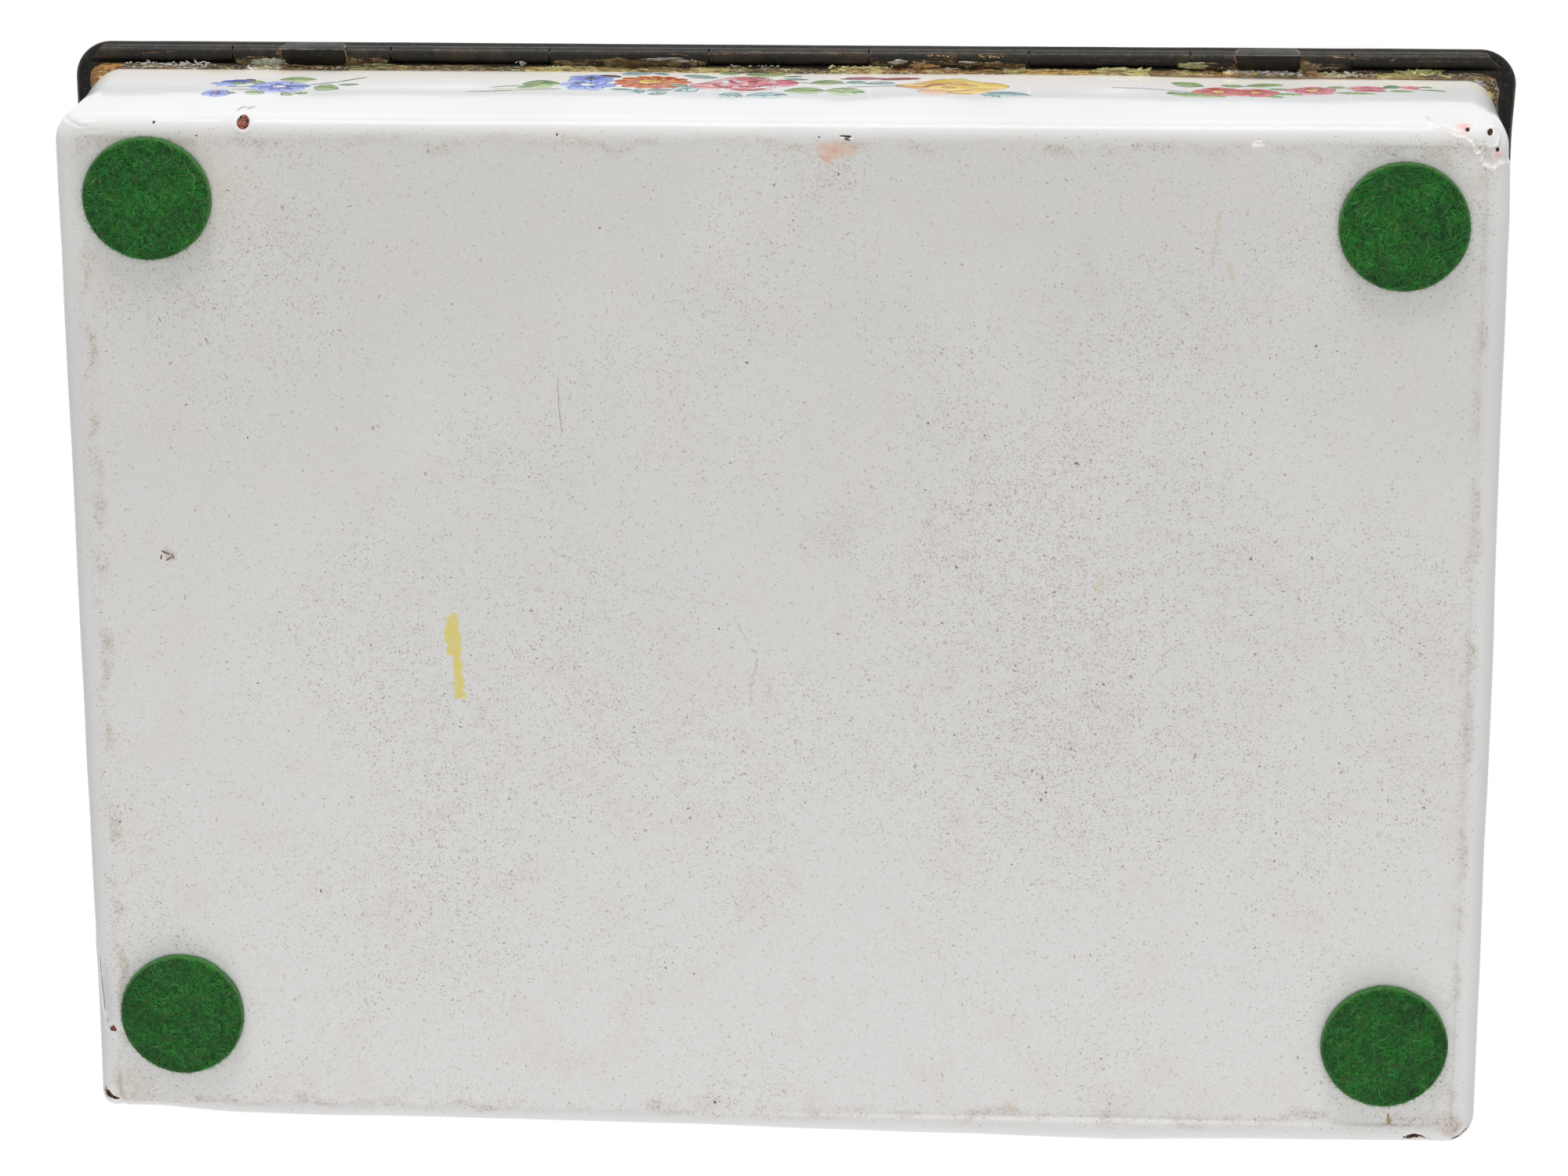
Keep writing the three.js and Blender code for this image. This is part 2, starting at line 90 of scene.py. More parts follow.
def unevenness(points, cell, seed, octaves=1):
    """Smooth noise from -1 to 1: values on a lattice of that cell size, blended by 3t^2 - 2t^3.

    Each further octave has half the cell and half the strength.
    """
    points = np.asarray(points, float)
    total, reach = 0, 0
    for octave in range(octaves):
        place = points * 2**octave / cell
        low = np.floor(place).astype(np.int64)
        part = place - low
        part = part * part * (3 - 2 * part)
        for corner in np.ndindex(2, 2, 2):
            weight = np.prod(np.where(corner, part, 1 - part), axis=-1)
            total = total + weight * hashed(low + corner, seed + octave) / 2**octave
        reach += 1 / 2**octave
    return total / reach


def eased_step(value, low, high):
    """0 below low, 1 above high, and 3t^2 - 2t^3 between; high may be the smaller."""
    share = np.clip((value - low) / (high - low), 0, 1)
    return share * share * (3 - 2 * share)


# The hand-made walls bow: place along the wall and how far out, for the front wall, and for the wall at -X
FRONT_BOW = [
    (-70, 0.05), (-60, 0.25), (-50, 0.34), (-35, 0.72), (-20, 0.42), (-4, 0.3), (11, -0.03), (26, -0.14),
    (50, -0.28), (57, -0.46), (64, -0.98), (70, -1.0),
]
SIDE_BOW = [
    (-52, 0.15), (-40, 0.35), (-20, 0.34), (-14, 0.42), (2, 0.42), (12, 0.32), (30, 0.32), (44, 0.3),
    (50, 0.1), (53, 0),
]


def wall_wave(points):
    """How far the fired enamel stands proud of its true surface: soft waves, ripples and the bows."""
    x, y, z = np.moveaxis(np.asarray(points), -1, 0)
    wave = 0.085 * unevenness(points, 19, 3) + 0.04 * unevenness(points, 6.5, 5)
    side = eased_step(-x, 65, 69) * np.interp(y, *zip(*SIDE_BOW))
    front = eased_step(-y, 44, 49) * eased_step(x, 69.9, 68) * np.interp(x, *zip(*FRONT_BOW))
    back = 0.24 * eased_step(y, 50, 52.5) * eased_step(x, -52, -30) * eased_step(z, 14, 21)
    return wave + np.where(z < 24, (side + front) * (1 - 0.65 * eased_step(z, 14, 21)) + back, 0)


# Meshes


def signed_volume(points, faces):
    """Volume inside closed faces, by the sum of a . (b x c) / 6 over a fan of each face."""
    total = 0
    for block in faces:
        for k in range(1, block.shape[1] - 1):
            a, b, c = points[block[:, 0]], points[block[:, k]], points[block[:, k + 1]]
            total += np.einsum("ij,ij->", a, np.cross(b, c)) / 6
    return total


def skinned(rings, poles=None):
    """Points and faces of a batch of ring runs, rings[piece, ring, step, xyz].

    With poles[piece, 2, xyz] each end is closed by a fan to its pole; without them the run closes on itself.
    """
    count, runs, steps = rings.shape[:3]
    ring = np.arange(runs if poles is None else runs - 1)[:, None]
    step = np.arange(steps)[None, :]
    after, beside = (ring + 1) % runs, (step + 1) % steps
    corners = [ring * steps + step, ring * steps + beside, after * steps + beside, after * steps + step]
    quads = np.stack([np.broadcast_to(c, (ring.size, steps)) for c in corners], -1).reshape(-1, 4)
    size = runs * steps + (0 if poles is None else 2)
    blocks = [quads]
    points = rings.reshape(count, -1, 3)
    if poles is not None:
        points = np.concatenate([points, poles], 1)
        edge = np.arange(steps)
        turn = (edge + 1) % steps
        last = (runs - 1) * steps
        first_fan = np.stack([np.full(steps, size - 2), turn, edge], -1)
        last_fan = np.stack([np.full(steps, size - 1), last + edge, last + turn], -1)
        blocks.append(np.concatenate([first_fan, last_fan]))
    if signed_volume(points[0], blocks) < 0:
        blocks = [block[:, ::-1] for block in blocks]
    shift = (np.arange(count) * size)[:, None, None]
    return points.reshape(-1, 3), [(block[None] + shift).reshape(-1, block.shape[1]) for block in blocks]


def piece(name, shape, finish, body, stands_for=(), slot=None, sharp=None, **attributes):
    """A finished piece from points in millimetres and blocks of faces, with an attribute for each keyword."""
    points, blocks = shape
    mesh = bpy.data.meshes.new(name)
    mesh.vertices.add(len(points))
    mesh.vertices.foreach_set("co", (points * MM).astype(np.float32).ravel())
    corners = np.concatenate([block.ravel() for block in blocks]).astype(np.int32)
    mesh.loops.add(corners.size)
    mesh.loops.foreach_set("vertex_index", corners)
    sizes = np.concatenate([np.full(len(block), block.shape[1]) for block in blocks])
    mesh.polygons.add(len(sizes))
    mesh.polygons.foreach_set("loop_start", (np.cumsum(sizes) - sizes).astype(np.int32))
    mesh.update(calc_edges=True)
    for key, values in attributes.items():
        values = np.asarray(values, np.float32)
        if values.ndim == 1:
            mesh.attributes.new(key, "FLOAT", "POINT").data.foreach_set("value", values)
        else:
            rows = np.concatenate([values, np.ones((len(values), 1), np.float32)], 1)
            mesh.attributes.new(key, "FLOAT_COLOR", "POINT").data.foreach_set("color", rows.ravel())
    return settled(name, mesh, finish, body, stands_for, sharp)


def settled(name, mesh, finish, body, stands_for, sharp):
    """Put a mesh in the scene as a piece that rides on a body and may stand for CAD nodes."""
    mesh.polygons.foreach_set("use_smooth", np.ones(len(mesh.polygons), bool))
    if sharp is not None:
        mesh.set_sharp_from_angle(angle=np.radians(sharp))
    mesh.materials.clear()
    mesh.materials.append(finish)
    made = bpy.data.objects.new(name, mesh)
    bpy.context.scene.collection.objects.link(made)
    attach(made, body)
    if stands_for:
        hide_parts(*stands_for)
    return made


def refined(name, node, finish, body, edge=0.0):
    """A copy of a CAD node, its doubled corners merged and, with an edge, its hard corners eased."""
    mesh = nodes[node].data.copy()
    mesh.name = name
    work = bmesh.new()
    work.from_mesh(mesh)
    bmesh.ops.remove_doubles(work, verts=work.verts, dist=0.002 * MM)
    if edge:
        bmesh.ops.dissolve_limit(work, angle_limit=np.radians(2), verts=work.verts, edges=work.edges)
        hard = [e for e in work.edges if e.is_manifold and e.calc_face_angle(0) > np.radians(25)]
        bmesh.ops.bevel(work, geom=hard, offset=edge * MM, segments=3, profile=0.5, affect="EDGES")
    work.to_mesh(mesh)
    work.free()
    return settled(name, mesh, finish, body, [node], 32)


# Rings round the box

CORNER_SIGNS = [(1, 1), (-1, 1), (-1, -1), (1, -1)]


def spaced(count, *peaks):
    """Shares along a side, without its ends: closer together near each peak (place, width, strength)."""
    fine = np.linspace(0, 1, 4001)
    density = np.ones_like(fine)
    for place, width, strength in peaks:
        density += strength * np.exp(-(((fine - place) / width) ** 2))
    reach = np.cumsum(density)
    reach = (reach - reach[0]) / (reach[-1] - reach[0])
    return np.interp(np.linspace(0, 1, count + 2)[1:-1], reach, fine)


def plan_rings(section, sides, corner_steps):
    """Rings[ring, step, xyz] round the box for a section of [out, up, corner] rows.

    A corner is a quarter circle of that radius, and a side runs straight to the next corner.
    """
    out, up, corner = np.asarray(section, float).T[:, :, None]
    quarters = []
    for quarter, (side_x, side_y) in enumerate(CORNER_SIGNS):
        angle = (quarter + np.linspace(0, 1, corner_steps + 1)) * QUARTER
        x = side_x * (BOX_WIDTH / 2 + out - corner) + corner * np.cos(angle)
        y = side_y * (BOX_DEPTH / 2 + out - corner) + corner * np.sin(angle)
        quarters.append(np.stack([x + BOX_MIDDLE[0], y + BOX_MIDDLE[1]], -1))
    runs = []
    for quarter, shares in enumerate(sides):
        start, end = quarters[quarter][:, -1:], quarters[(quarter + 1) % 4][:, :1]
        runs += [quarters[quarter], start + (end - start) * shares[None, :, None]]
    plan = np.concatenate(runs, 1)
    return np.concatenate([plan, np.broadcast_to(up[:, :, None], plan.shape[:2] + (1,))], -1)


def station(out, up):
    """A section row whose plan corner keeps the centre of the outer corner of the base walls."""
    return [out, up, max(WALL_CORNER + out, LEAST_CORNER)]


def round_stations(out, up, radius, start, end, steps):
    """Section rows along an arc, from one angle to another."""
    angles = np.linspace(start, end, steps + 1)
    return [station(out + radius * np.cos(a), up + radius * np.sin(a)) for a in angles]


def straight(first, last, steps):
    """Section rows between two others, without the ends."""
    shares = np.linspace(0, 1, steps + 2)[1:-1, None]
    return (np.array(first) * (1 - shares) + np.array(last) * shares).tolist()


def quadratic(start, turn, end, t):
    """Points of the quadratic curve from start to end that leans towards its turn."""
    return start * (1 - t) ** 2 + turn * 2 * t * (1 - t) + end * t * t


def bent(start, turn, end, steps=14):
    """Section points along a quadratic curve."""
    return quadratic(np.array(start), np.array(turn), np.array(end), np.linspace(0, 1, steps + 1)[:, None])


def eased_section(section, radius, steps):
    """A closed section with each turn taken by a quadratic curve that starts and ends a radius from it."""
    section = np.array(section, float)
    eased = []
    for before, here, after in zip(np.roll(section, 1, 0), section, np.roll(section, -1, 0)):
        reach = [min(radius / max(np.linalg.norm((end - here)[:2]), 1e-9), 0.45) for end in (before, after)]
        start, end = here + (before - here) * reach[0], here + (after - here) * reach[1]
        eased += [quadratic(start, here, end, t) for t in np.linspace(0, 1, steps + 1)]
    return np.array(eased)


def turns(count):
    """Angles evenly round a circle."""
    return np.linspace(0, 2 * np.pi, count + 1)[:-1]


def unit(ways, least=1e-9):
    """Directions made one long; those shorter than least stay short."""
    return ways / np.maximum(np.linalg.norm(ways, axis=-1, keepdims=True), least)


def shrunk(ring, shares):
    """Copies of a ring drawn in towards the middle of the box by each share, at the ring's own height."""
    middle = np.array([*BOX_MIDDLE, 0])
    return middle + (ring - middle) * np.stack([shares, shares, np.ones_like(shares)], -1)[:, None, :]


def ring_normals(rings):
    """Unit normals of a run of rings, by the cross product of its two directions."""
    along = np.roll(rings, -1, 1) - np.roll(rings, 1, 1)
    across = np.gradient(rings, axis=0)
    normal = np.cross(along, across)
    return normal / np.maximum(np.linalg.norm(normal, axis=-1, keepdims=True), 1e-9)


# Materials


def linear(red, green, blue):
    """A colour of 0 to 255 as the eye sees it, in the linear values of a shader."""
    value = np.array([red, green, blue]) / 255
    return tuple(np.where(value <= 0.04045, value / 12.92, ((value + 0.055) / 1.055) ** 2.4)) + (1.0,)


class Finish:
    """A material with one Principled shader, and short ways to add the nodes that feed it."""

    def __init__(self, name, **constants):
        self.material = bpy.data.materials.new(name)
        self.material.use_nodes = True
        self.tree = self.material.node_tree
        self.shader = self.tree.nodes["Principled BSDF"]
        self.place = self.node("TexCoord").outputs["Object"]
        for socket, value in constants.items():
            self.shader.inputs[socket.replace("_", " ")].default_value = value

    def node(self, kind, *values, **settings):
        """A node of that kind, its inputs linked or set in order; None leaves an input as it is."""
        made = self.tree.nodes.new("ShaderNode" + kind)
        for key, setting in settings.items():
            setattr(made, key, setting)
        for index, value in enumerate(values):
            if value is not None:
                self.feed(made.inputs[index], value)
        return made

    def feed(self, socket, value):
        if isinstance(value, bpy.types.NodeSocket):
            self.tree.links.new(value, socket)
        else:
            socket.default_value = value

    def math(self, operation, first, second=0.0, clamp=False):
        return self.node("Math", first, second, operation=operation, use_clamp=clamp).outputs[0]

    def times(self, first, *others):
        for other in others:
            first = self.math("MULTIPLY", first, other)
        return first

    def most(self, first, *others):
        for other in others:
            first = self.math("MAXIMUM", first, other)
        return first

    def noise(self, size, detail=2.0, roughness=0.5, stretch=None):
        """Noise from 0 to 1 whose lumps are about that many millimetres across."""
        place = self.place
        if stretch:
            place = self.node("Mapping", place, None, None, stretch).outputs[0]
        return self.noise_node(place, 1 / (size * MM), detail, roughness).outputs["Fac"]

    def noise_node(self, place, scale, detail=2.0, roughness=0.5):
        made = self.node("TexNoise")
        for key, value in (("Vector", place), ("Scale", scale), ("Detail", detail), ("Roughness", roughness)):
            self.feed(made.inputs[key], value)
        return made

    def cells(self, size, place=None, flat=False):
        """Distance to the nearest random point, and a random value for it, at that spacing in millimetres."""
        made = self.node("TexVoronoi", voronoi_dimensions="2D" if flat else "3D")
        self.feed(made.inputs["Vector"], place or self.place)
        self.feed(made.inputs["Scale"], 1 / (size * MM))
        random = self.node("SeparateColor", made.outputs["Color"]).outputs[0]
        return made.outputs["Distance"], random

    def fade(self, value, low, high, first=0.0, last=1.0, course="SMOOTHSTEP"):
        """From the first value at low to the last at high, smooth between; high may be the smaller."""
        return self.node("MapRange", value, low, high, first, last, interpolation_type=course).outputs[0]

    def mix(self, share, first, second):
        made = self.node("Mix", data_type="RGBA")
        for index, value in ((0, share), (6, first), (7, second)):
            self.feed(made.inputs[index], value)
        return made.outputs[2]

    def over(self, colour, tone, weight, *masks):
        """A tone of 0 to 255 laid over a colour, as strongly as its masks and its weight multiplied."""
        return self.mix(self.times(*masks, weight), colour, linear(*tone))

    def vector(self, operation, first, second):
        made = self.node("VectorMath", first, second, operation=operation)
        return made.outputs["Value" if operation in ("DISTANCE", "DOT_PRODUCT") else 0]

    def attribute(self, name, colour=False):
        made = self.node("Attribute", attribute_name=name)
        return made.outputs["Color" if colour else "Fac"]

    def near(self, spot, radius, soft, place):
        """1 within a radius of a spot and 0 beyond the radius and its soft edge, all in millimetres."""
        away = self.vector("DISTANCE", place, tuple(c * MM for c in spot))
        return self.fade(away, (radius + soft) * MM, radius * MM)

    def streak(self, start, end, radius, soft, place):
        """1 within a radius of the line between two spots and 0 beyond its soft edge, in millimetres."""
        start, run = Vector(start) * MM, (Vector(end) - Vector(start)) * MM
        offset = self.vector("SUBTRACT", place, start)
        share = self.math("DIVIDE", self.vector("DOT_PRODUCT", offset, run), run.length_squared, clamp=True)
        nearest = self.node("VectorMath", run, None, None, share, operation="SCALE").outputs[0]
        away = self.vector("DISTANCE", offset, nearest)
        return self.fade(away, (radius + soft) * MM, radius * MM)

    def warped(self, size, reach):
        """Object places pushed about by noise, so that what is drawn on them gets an uneven outline."""
        noise = self.noise_node(self.place, 1 / (size * MM)).outputs["Color"]
        pushed = self.vector("MULTIPLY", self.vector("SUBTRACT", noise, (0.5,) * 3), (reach * MM * 2,) * 3)
        return self.vector("ADD", self.place, pushed)

    def colour(self, value):
        self.feed(self.shader.inputs["Base Color"], value)

    def roughness(self, value):
        self.feed(self.shader.inputs["Roughness"], value)

    def bump(self, height, depth, strength=1.0):
        """Bump of that depth in millimetres for a height from 0 to 1."""
        made = self.node("Bump")
        self.feed(made.inputs["Height"], height)
        made.inputs["Distance"].default_value = depth * MM
        made.inputs["Strength"].default_value = strength
        self.feed(self.shader.inputs["Normal"], made.outputs[0])


WALL_WHITE = linear(237, 238, 239)
UNDERSIDE_GREY = linear(224, 223, 222)


def enamel_finish(name, underside):
    """White fired enamel: clean and glossy, or with the speckled, stained underside of the base."""
    f = Finish(name, IOR=1.17)
    tint = f.noise(22, 2)
    soft_white = f.mix(f.fade(tint, 0.35, 0.7), WALL_WHITE, linear(233, 233, 234))
    pin_distance, pin_chance = f.cells(3.1)
    pinholes = f.fade(pin_distance, 0.035, 0.02), f.fade(pin_chance, 0.93, 0.94)
    colour = f.over(soft_white, (120, 108, 96), 0.7, *pinholes)
    ripple = f.noise(2.6, 2)
    if not underside:
        f.colour(colour)
        f.roughness(f.math("ADD", f.times(tint, 0.06), 0.08))
        f.bump(ripple, 0.02, 0.6)
        return f.material

    under = f.attribute("under")
    uneven = f.warped(5, 2.2)
    # Ground and handled surface of the underside, with long soft clouds. The ground is painted darker towards
    # the back: painted shade for light that falls off across the underside
    cloud = f.noise(30, 3, 0.55)
    back = f.fade(f.node("SeparateXYZ", f.place).outputs[1], -62 * MM, 66 * MM)
    ground_with_painted_shade = f.mix(back, UNDERSIDE_GREY, linear(206, 205, 203))
    under_colour = f.over(ground_with_painted_shade, (221, 220, 218), 0.5, f.fade(cloud, 0.4, 0.75))
    under_colour = f.over(under_colour, (214, 206, 196), 0.32, f.fade(f.noise(7, 5, 0.7), 0.48, 0.72))
    under_colour = f.over(under_colour, (190, 182, 170), 0.42, f.fade(f.noise(0.22, 4, 0.75), 0.5, 0.66))
    up = f.node("SeparateXYZ", f.place).outputs[2]
    colour = f.over(colour, (250, 245, 236), 0.85, f.fade(up, 15 * MM, 22 * MM))
    colour = f.mix(f.attribute("shade"), colour, under_colour)

    # Fine brown and grey specks, thick in some clouds and thin in others
    flat_uneven = f.vector("MULTIPLY", uneven, (1, 1, 0))
    dense = f.math("MULTIPLY", f.fade(f.noise(26, 2), 0.42, 0.68), 0.55)
    for x, y, reach, weight in SPECK_CLOUDS:
        dense = f.math("ADD", dense, f.times(f.near((x, y, 0), reach * 0.1, reach, flat_uneven), weight))
    dense = f.times(f.math("ADD", dense, 0.1), f.fade(f.noise(1.3, 3, 0.7), 0.3, 0.6), under)
    powder = f.fade(f.noise(0.13, 4, 0.75), 0.56, 0.66), f.fade(f.noise(1.7, 4, 0.7), 0.42, 0.66), dense
    colour = f.over(colour, (158, 140, 118), 1.6, *powder)
    ragged = f.warped(0.9, 0.5)
    for size, radius, share, tone, weight in SPECKS:
        distance, chance = f.cells(size, ragged, True)
        level = f.math("SUBTRACT", 1.0, f.times(dense, share))
        here = f.math("GREATER_THAN", chance, level)
        colour = f.over(colour, tone, weight, f.fade(distance, radius * 1.25, radius * 0.55), here)

    # Dirt that lies in a broken line where the flat face turns into the rounded heel
    x, y, z = f.node("SeparateXYZ", uneven).outputs
    from_side = f.math("SUBTRACT", BOX_WIDTH / 2 * MM, f.math("ABSOLUTE", x))
    y = f.math("SUBTRACT", y, BOX_MIDDLE[1] * MM)
    from_end = f.math("SUBTRACT", BOX_DEPTH / 2 * MM, f.math("ABSOLUTE", y))
    inward = f.math("MINIMUM", from_side, from_end)
    line = f.times(f.fade(inward, 1.7 * MM, 2.2 * MM), f.fade(inward, 3.6 * MM, 2.3 * MM), under)
    line = f.times(line, f.fade(f.noise(5, 5, 0.8), 0.44, 0.64))
    colour = f.over(colour, (186, 170, 148), 0.3, line)
    colour = f.over(colour, (140, 118, 94), 0.55, line, f.fade(f.noise(0.3, 4, 0.7), 0.48, 0.6))

    # Stains, each a soft blotch with an uneven outline
    blotch = f.fade(f.noise(0.8, 5, 0.75), 0.3, 0.62)
    for x, y, z, radius, soft, tone, weight in STAINS:
        colour = f.over(colour, tone, weight, f.near((x, y, z), radius, soft, uneven), blotch)
    # The yellow smear, the scratches, the faint streaks and the painted shadow and shade beside the raised
    # flow line, each along a line
    fine = f.warped(0.7, 0.5)
    for x0, y0, x1, y1, radius, soft, tone, weight in STREAKS:
        mark = f.streak((x0, y0, PAD_THICKNESS), (x1, y1, PAD_THICKNESS), radius, soft, fine)
        colour = f.over(colour, tone, weight, mark)
    # Broken enamel shows white and rough, and metal or dirt shows dark in the deepest places
    chip, deep, glow, copper = (f.attribute(key) for key in ("chip", "deep", "glow", "copper"))
    broken = f.mix(f.fade(f.noise(0.35, 3), 0.35, 0.7), linear(244, 242, 238), linear(222, 214, 204))
    colour = f.mix(f.fade(chip, 0.25, 0.6), colour, broken)
    colour = f.over(colour, (244, 152, 140), 0.55, glow)
    dark = f.mix(f.noise(0.3), linear(30, 24, 22), linear(88, 66, 58))
    colour = f.mix(f.fade(deep, 0.35, 0.6), colour, dark)
    bare = f.mix(f.fade(f.noise(0.3, 2), 0.4, 0.6), linear(60, 34, 30), linear(150, 86, 70))
    colour = f.mix(f.fade(copper, 0.3, 0.6), colour, bare)
    f.colour(colour)
    # The face is worn matt; the heel and the walls are glossy
    worn = f.math("ADD", f.times(under, 0.3), 0.09)
    worn = f.most(worn, f.times(f.fade(chip, 0.2, 0.6), 0.5))
    f.roughness(f.math("ADD", worn, f.times(line, 0.2), clamp=True))
    grit = f.times(f.noise(0.25, 2), under, 0.35)
    grit = f.math("ADD", f.times(ripple, 0.5), grit)
    f.bump(f.math("ADD", grit, f.times(chip, f.noise(0.4, 4))), 0.02, 0.7)
    return f.material


# Clouds of specks under the base: x, y, reach, weight
SPECK_CLOUDS = [
    (19.6, 2.3, 16, 0.45), (-31.5, -3.0, 30, 0.75), (-34.8, 33.2, 12, 0.6), (-27.0, -10.1, 14, 0.5),
    (-5.3, 12.3, 4, 0.7), (-4.6, 48.4, 3.6, 0.8), (-7.0, 48.2, 3, 0.6), (50.0, 38.0, 16, 0.3),
    (-22.0, 20.0, 20, 0.3), (30.0, -20.0, 20, 0.2),
]
# Specks: spacing, radius in shares of it, share of cells that hold one, colour, weight
SPECKS = [
    (0.29, 0.27, 0.7, (170, 162, 150), 0.62),
    (0.43, 0.2, 0.34, (158, 146, 130), 0.66),
    (0.9, 0.12, 0.14, (142, 126, 108), 0.7),
    (2.9, 0.045, 0.1, (84, 70, 60), 0.75),
]
# Streaks on the underside: from x, y to x, y, radius, soft edge, colour, weight
YELLOW, SCRATCH, SHADOW = (216, 202, 120), (150, 146, 140), (126, 126, 138)
STREAKS = [
    (32.2, 3.0, 32.35, 1.6, 0.4, 0.4, YELLOW, 0.9), (32.4, 1.6, 32.2, -0.4, 0.56, 0.36, YELLOW, 0.9),
    (32.1, -0.6, 31.95, -1.6, 0.16, 0.36, YELLOW, 0.8), (31.9, -1.7, 31.75, -4.9, 0.34, 0.34, YELLOW, 0.9),
    # The SHADOW lines are a painted shadow along the shaded side of the raised flow line, and the soft grey
    # streak after them is painted shade beside it
    (69.46, -33.4, 69.2, -38.6, 0.03, 0.2, SHADOW, 0.75),
    (69.2, -38.6, 68.95, -40.9, 0.04, 0.2, SHADOW, 0.8),
    (68.95, -40.9, 68.5, -41.3, 0.03, 0.14, SHADOW, 0.7),
    (69.0, -35.0, 68.7, -40.4, 0.1, 0.8, (186, 186, 194), 0.45),
    (21.3, 27.9, 21.0, 22.2, 0.02, 0.06, SCRATCH, 0.6), (22.6, 10.4, 14.9, 6.4, 0.02, 0.12, SCRATCH, 0.3),
    (14.9, 6.4, 4.8, 4.5, 0.02, 0.12, SCRATCH, 0.24), (4.8, 4.5, 2.1, -0.7, 0.02, 0.14, SCRATCH, 0.35),
    (2.1, -0.7, 2.9, -5.6, 0.03, 0.16, SCRATCH, 0.35),
    (-29.6, 42.0, -31.0, 35.5, 0.1, 1.6, (190, 183, 172), 0.12),
    (-42.6, 44.8, -41.9, 39.6, 0.04, 0.25, (190, 176, 146), 0.4),
    (-18.0, 43.4, -27.0, 43.1, 0.05, 1.1, (192, 185, 174), 0.08),
    (-43.6, 39.6, -44.0, 38.2, 0.1, 0.3, (196, 184, 156), 0.5),
    (-67.2, 31.2, -67.8, 32.8, 0.35, 0.1, (196, 194, 192), 0.35),
    (-4.3, 50.0, -5.5, 49.2, 0.06, 0.2, (206, 160, 134), 0.7),
]
# Stains on the base enamel: x, y, z, radius, soft edge, colour, weight
STAINS = [
    (56.1, 47.1, 1.2, 1.5, 6.0, (196, 182, 160), 0.35),
    (66.6, -47.8, 1.2, 0.5, 2.4, (190, 176, 152), 0.6),
    (-4.9, 50.5, 1.3, 0.5, 1.0, (212, 170, 146), 0.75),
    (-6.1, 50.6, 1.3, 0.5, 1.0, (214, 174, 150), 0.7),
    (-5.3, 12.3, 1.2, 0.1, 3.4, (190, 180, 168), 0.22),
    (60.3, 9.2, 1.2, 0.15, 0.6, (150, 130, 100), 0.7),
    (-67.8, -49.1, 1.4, 0.3, 1.2, (160, 134, 110), 0.75),
    (-67.5, 47.6, 1.2, 0.1, 1.5, (168, 146, 116), 0.4),
    (-63.6, 50.0, 1.2, 0.1, 1.9, (176, 158, 130), 0.4),
    (-23.1, -48.5, 1.2, 0.4, 0.9, (196, 176, 148), 0.5),
    (-69.6, -49.1, 1.4, 0.08, 0.12, (60, 80, 190), 0.9),
    (-33.5, 8.8, 1.2, 0.1, 0.1, (80, 96, 200), 0.8),
    (68.2, 25.9, 1.4, 0.1, 0.1, (80, 96, 200), 0.8),
    (-31.5, 6.6, 1.2, 0.3, 0.6, (214, 200, 140), 0.4),
    (58.0, 53.6, 24.2, 1.5, 3.0, (230, 204, 140), 0.5),
    (51.5, 53.6, 24.2, 1.4, 2.2, (232, 208, 150), 0.45),
    (-40.0, 53.6, 24.2, 1.2, 2.6, (230, 218, 184), 0.4),
]


def metal_finish(name, dark, brown, rubbed, worn, rubs=(), ridge=None):
    """Old patinated metal: dark and brown in patches, with bright rubbed streaks; worn is the share of those.

    Rubs are single streaks in plan, and a ridge is a bright line along X at that Y and Z: rubbed metal and a
    painted highlight along that edge.
    """
    f = Finish(name, Metallic=0.45, IOR=1.3)
    patches = f.noise(4.5, 5, 0.7)
    colour = f.mix(f.fade(patches, 0.48, 0.7), linear(*dark), linear(*brown))
    colour = f.over(colour, (76, 71, 64), 0.4, f.fade(f.noise(0.45, 4), 0.54, 0.72))
    scrapes = f.noise(0.8, 4, 0.7, stretch=(0.12, 1.0, 1.0))
    where = f.noise(7, 3)
    colour = f.over(colour, rubbed, 0.8, f.fade(scrapes, 0.68 - worn, 0.74 - worn), f.fade(where, 0.5, 0.6))
    plan = f.vector("MULTIPLY", f.warped(0.5, 0.1), (1, 1, 0))
    broken = f.fade(f.noise(0.3, 4, 0.7, stretch=(0.5, 1.0, 1.0)), 0.42, 0.6)
    for x0, y0, x1, y1, radius, tone, weight in rubs:
        mark = f.streak((x0, y0, 0), (x1, y1, 0), radius * 0.2, radius * 0.8, plan)
        colour = f.over(colour, tone, weight, mark, broken)
    fine = f.noise(0.18, 4, 0.7)
    colour = f.over(colour, (84, 81, 78), 0.5, f.fade(fine, 0.6, 0.7))
    if ridge:
        # A bright line along the ridge, partly rubbed metal and partly a painted highlight on that edge
        across = f.vector("MULTIPLY", f.warped(0.6, 0.04), (0, 1, 1))
        edge = f.near((0, *ridge), 0.05, 0.07, across), f.fade(f.noise(0.7, 4), 0.3, 0.5)
        colour = f.over(colour, (134, 128, 120), 0.8, *edge)
    f.colour(colour)
    f.roughness(f.fade(f.noise(1.5, 4, 0.7), 0.35, 0.65, 0.26, 0.42, "LINEAR"))
    f.bump(f.math("ADD", fine, f.times(scrapes, 0.5)), 0.045, 0.8)
    return f.material


